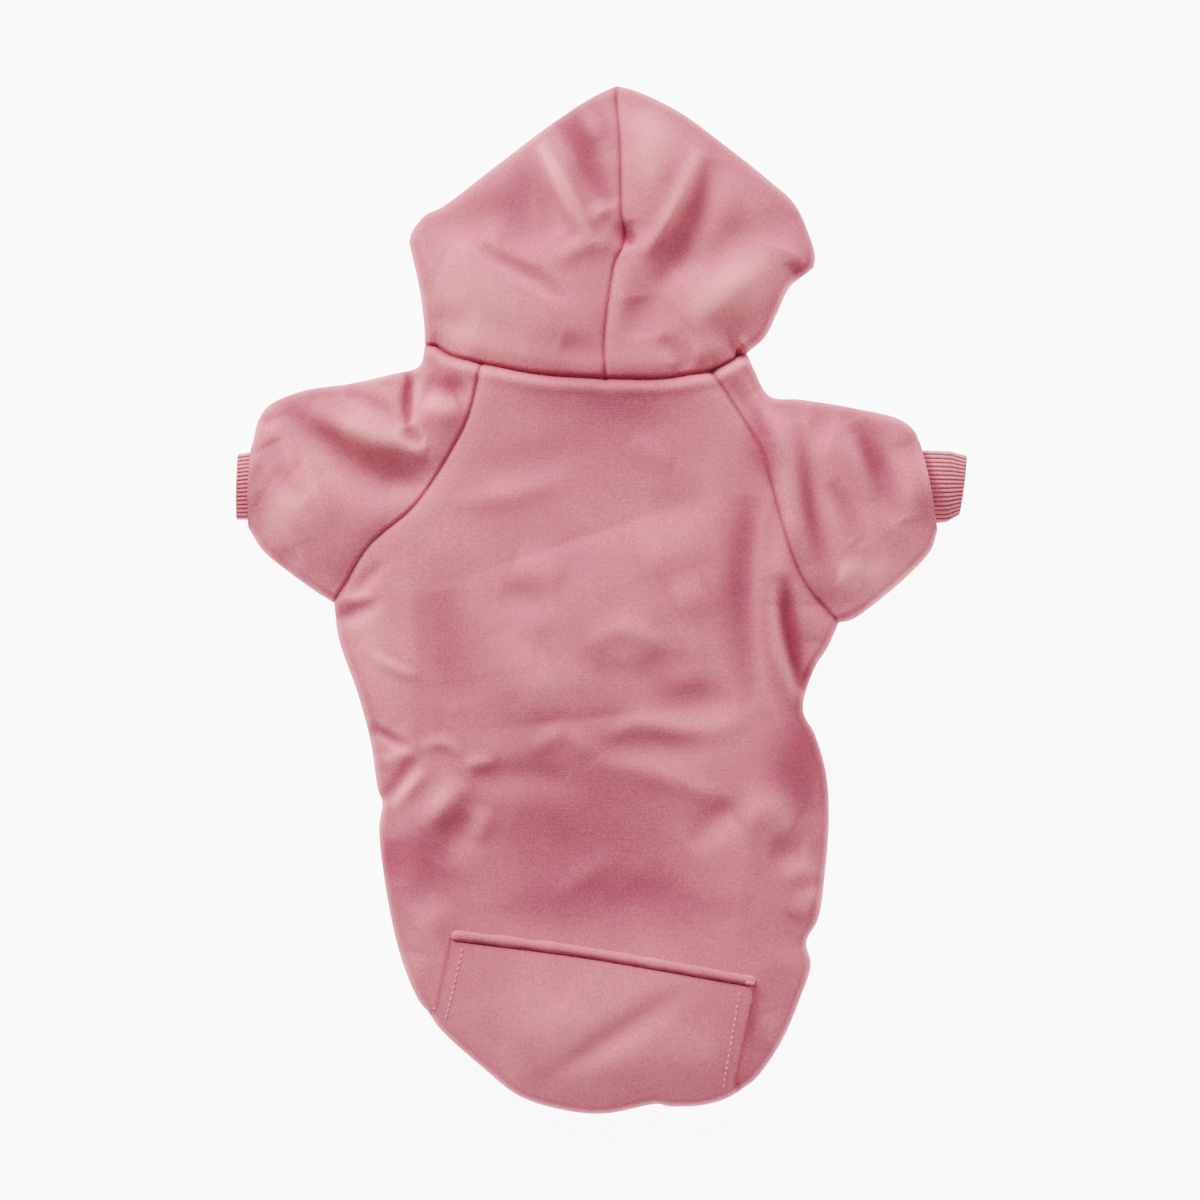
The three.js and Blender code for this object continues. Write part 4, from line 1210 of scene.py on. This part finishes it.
class WeltPiece(Piece):
    """The rolled strip over the pocket's upper edge."""

    name = "welt_cloth"
    node = "pocket_welt"
    hold = Hold.FOLDED
    height = 2.1
    uneven = 0.22

    def build(self) -> bpy.types.Object:
        """Makes the strip, round above and flat beneath."""
        line = self.pattern.welt_line
        up = ways_out(line, -1)
        angles = np.linspace(0, math.pi, 13)
        passed = np.linspace(0, 1, len(line))
        ends = np.clip(np.minimum(passed, 1 - passed) / 0.016, 0, 1) ** 0.5
        wavy = np.array([noise.noise(Vector((14 * share, 2.2, 5.1))) for share in passed])
        size = (0.45 + 0.55 * ends) * (1 + self.uneven * wavy)
        half = size[:, None] * WELT_WIDTH / 2 * np.cos(angles)
        flat = line[:, None] + up[:, None] * half[..., None]
        height = self.surface.height(line)[:, None] + POCKET_GAP
        height = height + size[:, None] * self.height * np.sin(angles)[None]
        points = np.concatenate([flat, height[..., None]], axis=-1)
        # Painted shade along the strip's lower foot, where it meets the pocket.
        tone = np.repeat(0.50 - 0.26 * fade((angles[None] - math.pi) / 0.6), len(line), axis=0)
        return self.sewn([wound_up(Patch(points, self.turned(flat), tone))], 0.8)


class PocketStitches(Piece):
    """Lockstitches along both slits of the pocket, and the bar tack at the welt's end."""

    name = "pocket_stitches"
    node = ""
    pitch = 2.7
    length = 1.8
    thickness = 0.85

    def __init__(self, pattern: Pattern, surface: ClothSurface, pocket: PocketPiece) -> None:
        """Keeps the pocket that is stitched down.

        Args:
            pattern: The garment's runs.
            surface: The cloth's height on top.
            pocket: The pocket, already built.
        """
        super().__init__(pattern, surface)
        self.pocket = pocket

    def stitch(self, place: np.ndarray, along: np.ndarray) -> bpy.types.Object:
        """Adds one stitch.

        Args:
            place: Its middle, in garment millimetres.
            along: The way that it runs.

        Returns:
            The stitch.
        """
        middle = (place + self.pattern.shift) * MM
        turn = Vector(along).to_track_quat("X", "Z").to_euler()
        bpy.ops.mesh.primitive_uv_sphere_add(
            segments=8, ring_count=6, radius=0.5 * MM, location=middle, rotation=turn,
            scale=(self.length, self.thickness, self.thickness))
        return bpy.context.object

    def build(self) -> bpy.types.Object:
        """Makes every stitch as one mesh."""
        made = []
        for run in self.pocket.stitch_runs:
            ends = run[1:-3]
            total = np.linalg.norm(np.diff(ends, axis=0), axis=1).sum()
            spots = stepped(list(ends[::4]), 2 * int(total / self.pitch))
            made += [
                self.stitch(spots[k], spots[k + 1] - spots[k - 1])
                for k in range(1, len(spots) - 1, 2)
            ]
        top = max(self.pocket.stitch_runs[-1][[0, -1]], key=lambda place: place[1])
        across = np.array([0.28, 0.96, 0.0])
        made += [self.stitch(top + np.array([2.6 + 0.9 * k, 1.6, 1.2]), across) for k in range(4)]
        pick_only(*made)
        bpy.ops.object.join()
        bpy.ops.object.transform_apply(location=True, rotation=True, scale=True)
        bpy.ops.object.shade_smooth()
        return rename(bpy.context.object, self.name)


class CuffPiece(SidePiece):
    """A ribbed tube tucked into the mouth of its sleeve."""

    stem = "cuff"
    ending = "rib"
    slot = "rib"
    length = 19.0
    width = 34.0
    wall = 1.2
    height = 5.2
    rise = 2.4
    low = 2.9
    ribs = 36
    rib_depth = 0.5
    per_rib = 8
    fine_steps = 1200
    straight_rows = 30
    around_share = 2.15

    @property
    def rests_on(self) -> tuple[str, ...]:
        """The sleeve whose mouth the cuff lies in."""
        return (f"sleeve_{self.side_name}_cloth",)

    def section(self, half_width: float) -> np.ndarray:
        """The flattened tube's section, domed above and flat beneath.

        Args:
            half_width: Half of its width.

        Returns:
            Places across and up, in order round the tube.
        """
        corner = self.height / 2
        flat = half_width - corner
        bends = np.linspace(0, math.pi, 5)

        def end(start: float, centre: float) -> list[tuple[float, float]]:
            """One rounded end of the section."""
            return [
                (centre + corner * math.sin(start + a), corner + corner * math.cos(start + a))
                for a in bends
            ]

        dome = [(t * flat, self.height + self.rise * (1 - t * t)) for t in (-0.6, -0.2, 0.2, 0.6)]
        base = [(t * flat, 0.0) for t in (0.5, -0.5)]
        return np.array([*end(0, flat), *base, *end(math.pi, -flat), *dome])

    def loop(self, top: Plan, bottom: Plan) -> tuple[np.ndarray, np.ndarray]:
        """One loop round the tube, without its ribs.

        Args:
            top: The plan place of its upper end.
            bottom: The plan place of its lower end.

        Returns:
            The loop's points and the way out at each.
        """
        middle = (top + bottom) / 2
        across = top - bottom
        half = np.linalg.norm(across) / 2
        across = across / (2 * half)
        ring = self.section(half)
        closed = np.vstack([ring[-2:], ring, ring[:3]])
        count = self.ribs * self.per_rib
        dense = stepped(list(closed), self.fine_steps)
        half_way = self.fine_steps // 2
        start = np.argmin(np.linalg.norm(dense[:half_way] - ring[0], axis=1))
        stop = half_way + np.argmin(np.linalg.norm(dense[half_way:] - ring[0], axis=1))
        turn = stepped(list(dense[start: stop + 1: 6]) + [dense[stop]], count)
        turn[-1] = turn[0]
        along = np.gradient(turn, axis=0)
        along[0] = along[-1] = turn[1] - turn[-2]
        out = np.stack([-along[:, 1], along[:, 0]], axis=1)
        out /= np.linalg.norm(out, axis=1)[:, None]
        if (out * (turn - turn.mean(axis=0))).sum() < 0:
            out = -out
        place = middle + turn[:, :1] * across
        points = np.column_stack([place, self.low + turn[:, 1]])
        ways = np.column_stack([out[:, :1] * across, out[:, 1]])
        return points, ways

    def build(self) -> bpy.types.Object:
        """Makes the tube with its ribs and a soft lip."""
        pattern, sign = self.runs.pattern, self.runs.sign
        table = np.array(pattern.cuff_sections, float)
        straight = self.straight_rows
        shares = np.concatenate([np.linspace(0, 0.97, straight), [0.985, 1.0, 1.0, 1.0]])
        tucks = np.concatenate([np.zeros(straight), [0.12, 0.35, 0.7, 1.05]])
        mouth = self.runs.on_sleeve(pattern.cuff_mouth, pattern.cuff_mid)
        angle = np.arange(self.ribs * self.per_rib + 1) * 2 * math.pi / self.per_rib
        rib = self.rib_depth * (np.abs(np.cos(angle / 2)) - 0.5)
        rows, flats = [], []
        for share, tuck in zip(shares, tucks):
            top, bottom, lean = (np.interp(share, table[:, 0], table[:, k]) for k in (1, 2, 3))
            out = (share - 1 + pattern.cuff_shown) * self.length

            def at(part: float) -> Plan:
                """The plan place at a share of the cuff's width."""
                slant = lean * part * self.width / 2
                return mouth + np.array([sign * (out + slant), part * self.width])

            points, ways = self.loop(at(top), at(bottom))
            rows.append(points + ways * (rib - tuck)[:, None])
            around = np.linspace(0, self.around_share * self.width, len(points))
            flats.append(np.column_stack([around, np.full(len(points), out)]))
        # Painted light on the ribs' ridges and painted shade in their grooves.
        ridge = np.abs(np.cos(angle / 2))
        tone = np.repeat(0.25 + 0.5 * ridge[None], len(rows), axis=0)
        patch = Patch(np.array(rows), np.array(flats), tone)
        centre = patch.points.mean(axis=(0, 1))
        first = patch.points[0, 0]
        normal = np.cross(patch.points[0, 1] - first, patch.points[1, 0] - first)
        if normal @ (first - centre) < 0:
            patch = patch.reversed()
        return self.sewn([patch], self.wall)


def added(
    material: bpy.types.Material, value: bpy.types.NodeSocket, amount: float,
    base: bpy.types.NodeSocket,
) -> bpy.types.NodeSocket:
    """Adds a share of one value to another.

    Args:
        material: The material whose nodes are built.
        value: The value that is scaled.
        amount: Its share.
        base: The value that it is added to.

    Returns:
        The sum's socket.
    """
    tree = material.node_tree
    node = tree.nodes.new("ShaderNodeMath")
    node.operation = "MULTIPLY_ADD"
    node.inputs[1].default_value = amount
    tree.links.new(value, node.inputs[0])
    tree.links.new(base, node.inputs[2])
    return node.outputs["Value"]


@dataclass(frozen=True)
class FleeceFinish:
    """Pink fleece-backed knit: fine wales, a soft nap, and a ramp of lit and shaded pinks, with
    deep red painted shade in creases.
    """

    name: str = "pink_fleece"
    bright: tuple[float, float, float] = (0.95, 0.258, 0.294)
    middle: tuple[float, float, float] = (0.69, 0.146, 0.208)
    shadow: tuple[float, float, float] = (0.40, 0.07, 0.12)
    crease_shade: tuple[float, float, float] = (0.30, 0.02, 0.05)
    wale: float = 0.00095
    course: float = 0.0008
    roughness: float = 0.92
    sheen: float = 0.14
    mottle: float = 0.4
    fuzz: float = 0.125
    course_weight: float = 0.15
    nap_weight: float = 0.6
    bump_strength: float = 0.18
    bump_height: float = 0.00018

    def material(self) -> bpy.types.Material:
        """The cloth's material, with its knit from the piece's own UV map."""
        made = bpy.data.materials.new(self.name)
        made.use_nodes = True
        nodes, links = made.node_tree.nodes, made.node_tree.links
        shader = nodes["Principled BSDF"]
        shader.inputs["Roughness"].default_value = self.roughness
        shader.inputs["Sheen Weight"].default_value = self.sheen
        shader.inputs["Sheen Roughness"].default_value = 0.5
        shader.inputs["Sheen Tint"].default_value = (1.0, 0.72, 0.76, 1.0)
        shader.inputs["Specular IOR Level"].default_value = 0.2
        uv = nodes.new("ShaderNodeUVMap")
        uv.uv_map = "UVMap"
        place = nodes.new("ShaderNodeTexCoord")
        wale = nodes.new("ShaderNodeTexWave")
        wale.bands_direction = "X"
        wale.inputs["Scale"].default_value = 2 * math.pi / (20 * self.wale)
        wale.inputs["Distortion"].default_value = 1.2
        wale.inputs["Detail"].default_value = 1.0
        wale.inputs["Detail Scale"].default_value = 0.6
        course = nodes.new("ShaderNodeTexWave")
        course.bands_direction = "Y"
        course.inputs["Scale"].default_value = 2 * math.pi / (20 * self.course)
        course.inputs["Distortion"].default_value = 2.0
        nap = nodes.new("ShaderNodeTexNoise")
        nap.normalize = False
        nap.inputs["Scale"].default_value = 950
        nap.inputs["Detail"].default_value = 2.0
        mottle = nodes.new("ShaderNodeTexNoise")
        mottle.inputs["Scale"].default_value = 24
        mottle.inputs["Detail"].default_value = 3.0
        links.new(uv.outputs["UV"], wale.inputs["Vector"])
        links.new(uv.outputs["UV"], course.inputs["Vector"])
        links.new(place.outputs["Object"], nap.inputs["Vector"])
        links.new(place.outputs["Object"], mottle.inputs["Vector"])
        # The painted light and shade tone, with random mottle and fuzz, picks lit or shaded pink
        # from the ramp.
        shade = nodes.new("ShaderNodeAttribute")
        shade.attribute_name = "painted_light_tone"
        uneven = added(made, mottle.outputs["Fac"], self.mottle, shade.outputs["Fac"])
        fuzz = added(made, nap.outputs["Fac"], self.fuzz, uneven)
        # The ramp paints light and shade: crease shade, shadow, middle and bright copies of the
        # same pink.
        tint = nodes.new("ShaderNodeValToRGB")
        stops = tint.color_ramp.elements
        stops[0].position, stops[0].color = 0.08, (*self.crease_shade, 1)
        stops[1].position, stops[1].color = 1.0, (*self.bright, 1)
        for position, colour in ((0.42, self.shadow), (0.76, self.middle)):
            stops.new(position).color = (*colour, 1)
        links.new(fuzz, tint.inputs["Fac"])
        links.new(tint.outputs["Color"], shader.inputs["Base Color"])
        weave = added(made, course.outputs["Fac"], self.course_weight, wale.outputs["Fac"])
        rough = added(made, nap.outputs["Fac"], self.nap_weight, weave)
        bump = nodes.new("ShaderNodeBump")
        bump.inputs["Strength"].default_value = self.bump_strength
        bump.inputs["Distance"].default_value = self.bump_height
        links.new(rough, bump.inputs["Height"])
        links.new(bump.outputs["Normal"], shader.inputs["Normal"])
        return made


@dataclass(frozen=True)
class RibFinish(FleeceFinish):
    """The cuffs' rib knit: the same yarn, without the nap."""

    name: str = "pink_rib"
    bright: tuple[float, float, float] = (0.80, 0.25, 0.29)
    middle: tuple[float, float, float] = (0.60, 0.14, 0.20)
    shadow: tuple[float, float, float] = (0.34, 0.055, 0.10)
    crease_shade: tuple[float, float, float] = (0.26, 0.02, 0.045)
    wale: float = 0.0007
    sheen: float = 0.08


@dataclass(frozen=True)
class ThreadFinish:
    """Pale pink sewing thread."""

    name: str = "pink_thread"
    colour: tuple[float, float, float] = (0.86, 0.25, 0.30)
    roughness: float = 0.6

    def material(self) -> bpy.types.Material:
        """The thread's material."""
        made = bpy.data.materials.new(self.name)
        made.use_nodes = True
        shader = made.node_tree.nodes["Principled BSDF"]
        shader.inputs["Base Color"].default_value = (*self.colour, 1)
        shader.inputs["Roughness"].default_value = self.roughness
        return made


@dataclass(frozen=True)
class FloorFinish:
    """A plain pale floor, lit evenly."""

    name: str = "studio_floor"
    glow: float = 9.0

    def material(self) -> bpy.types.Material:
        """The floor's material."""
        made = bpy.data.materials.new(self.name)
        made.use_nodes = True
        shader = made.node_tree.nodes["Principled BSDF"]
        shader.inputs["Base Color"].default_value = (0.9, 0.9, 0.9, 1)
        shader.inputs["Roughness"].default_value = 0.9
        shader.inputs["Emission Color"].default_value = (1, 1, 1, 1)
        shader.inputs["Emission Strength"].default_value = self.glow
        return made


@dataclass(frozen=True)
class Studio:
    """The floor, the lights and the camera above the hoodie."""

    view_width: float = 0.540
    lens: float = 85.0
    sensor: float = 36.0
    focus_height: float = 0.008
    centre: tuple[float, float] = (-0.0007, -0.0002)
    floor_size: float = 6.0
    lamps: tuple[tuple[str, tuple[float, float, float], float, float], ...] = (
        ("key_softbox", (-1.15, 1.65, 0.9), 0.75, 108),
        ("far_softbox", (0.5, 1.9, 1.0), 0.9, 22),
        ("right_softbox", (1.8, 0.0, 1.1), 1.0, 9),
        ("near_softbox", (0.0, -1.9, 1.1), 1.0, 9),
        ("overhead", (0.0, 0.0, 2.4), 1.6, 14),
    )

    def floor(self) -> bpy.types.Object:
        """Lays the floor just under the hoodie."""
        pick_only(*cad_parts.values())
        bpy.ops.object.select_all(action="DESELECT")
        bpy.ops.mesh.primitive_grid_add(x_subdivisions=4, y_subdivisions=4, size=self.floor_size)
        floor = rename(bpy.context.object, "floor")
        floor.data.materials.append(FloorFinish().material())
        return floor

    def lamp(
        self, name: str, place: tuple[float, float, float], size: float, power: float,
    ) -> bpy.types.Object:
        """Hangs a soft square light that points at the hoodie.

        Args:
            name: The lamp's name.
            place: Where it hangs, in metres.
            size: The side of its square, in metres.
            power: Its power in watts.

        Returns:
            The lamp.
        """
        bpy.ops.object.light_add(type="AREA", location=place)
        lamp = bpy.context.object
        lamp.name = name
        lamp.data.size = size
        lamp.data.energy = power
        lamp.rotation_euler = (-Vector(place)).to_track_quat("-Z", "Y").to_euler()
        return lamp

    def camera(self) -> bpy.types.Object:
        """Sets the camera straight above."""
        distance = self.lens / self.sensor * self.view_width
        bpy.ops.object.camera_add(
            location=(*self.centre, self.focus_height + distance), rotation=(0, 0, 0))
        camera = bpy.context.object
        camera.name = "camera"
        camera.data.lens = self.lens
        camera.data.sensor_width = self.sensor
        bpy.context.scene.camera = camera
        return camera

    def build(self) -> None:
        """Sets up the whole studio."""
        self.floor()
        self.camera()
        for lamp in self.lamps:
            self.lamp(*lamp)


def main() -> None:
    """Builds the hoodie piece by piece and sets up the studio."""
    logging.basicConfig(level=logging.INFO, format="%(name)s: %(message)s")
    Studio().build()
    pattern = Pattern()
    surface = ClothSurface(pattern)
    fleece, rib = FleeceFinish().material(), RibFinish().material()
    hood_left = HoodPiece(pattern, surface, pattern.left, pattern.neck_left)
    hood_right = HoodPiece(pattern, surface, pattern.right, pattern.neck_right[::-1])
    pocket = PocketPiece(pattern, surface)
    pieces = [
        (BackPanel(pattern, surface), fleece, (0.28, 0.363), 0.075),
        (BellyPanel(pattern, surface), fleece, (0.199, 0.24), 0.034),
        (SleevePiece(pattern, surface, pattern.left), fleece, (0.24, 0.125), 0.0155),
        (SleevePiece(pattern, surface, pattern.right), fleece, (0.231, 0.131), 0.0140),
        (hood_left, fleece, (0.185, 0.163), 0.0137),
        (hood_right, fleece, (0.15, 0.233), 0.0140),
        (pocket, fleece, (0.182, 0.11), 0.0129),
        (WeltPiece(pattern, surface), fleece, (0.0105, 0.138), 0.0010),
        (CuffPiece(pattern, surface, pattern.left), rib, (0.092, 0.019), 0.0017),
        (CuffPiece(pattern, surface, pattern.right), rib, (0.092, 0.019), 0.0017),
    ]
    for piece, finish, flat, area in pieces:
        made = piece.build()
        piece.dress(made, finish)
        piece.declare(made, flat, area)
        LOG.info("%s: %d faces", made.name, len(made.data.polygons))
    stitches = PocketStitches(pattern, surface, pocket)
    made = stitches.build()
    stitches.dress(made, ThreadFinish().material())
    LOG.info("%s: %d faces", made.name, len(made.data.polygons))


if __name__ == "__main__":
    main()
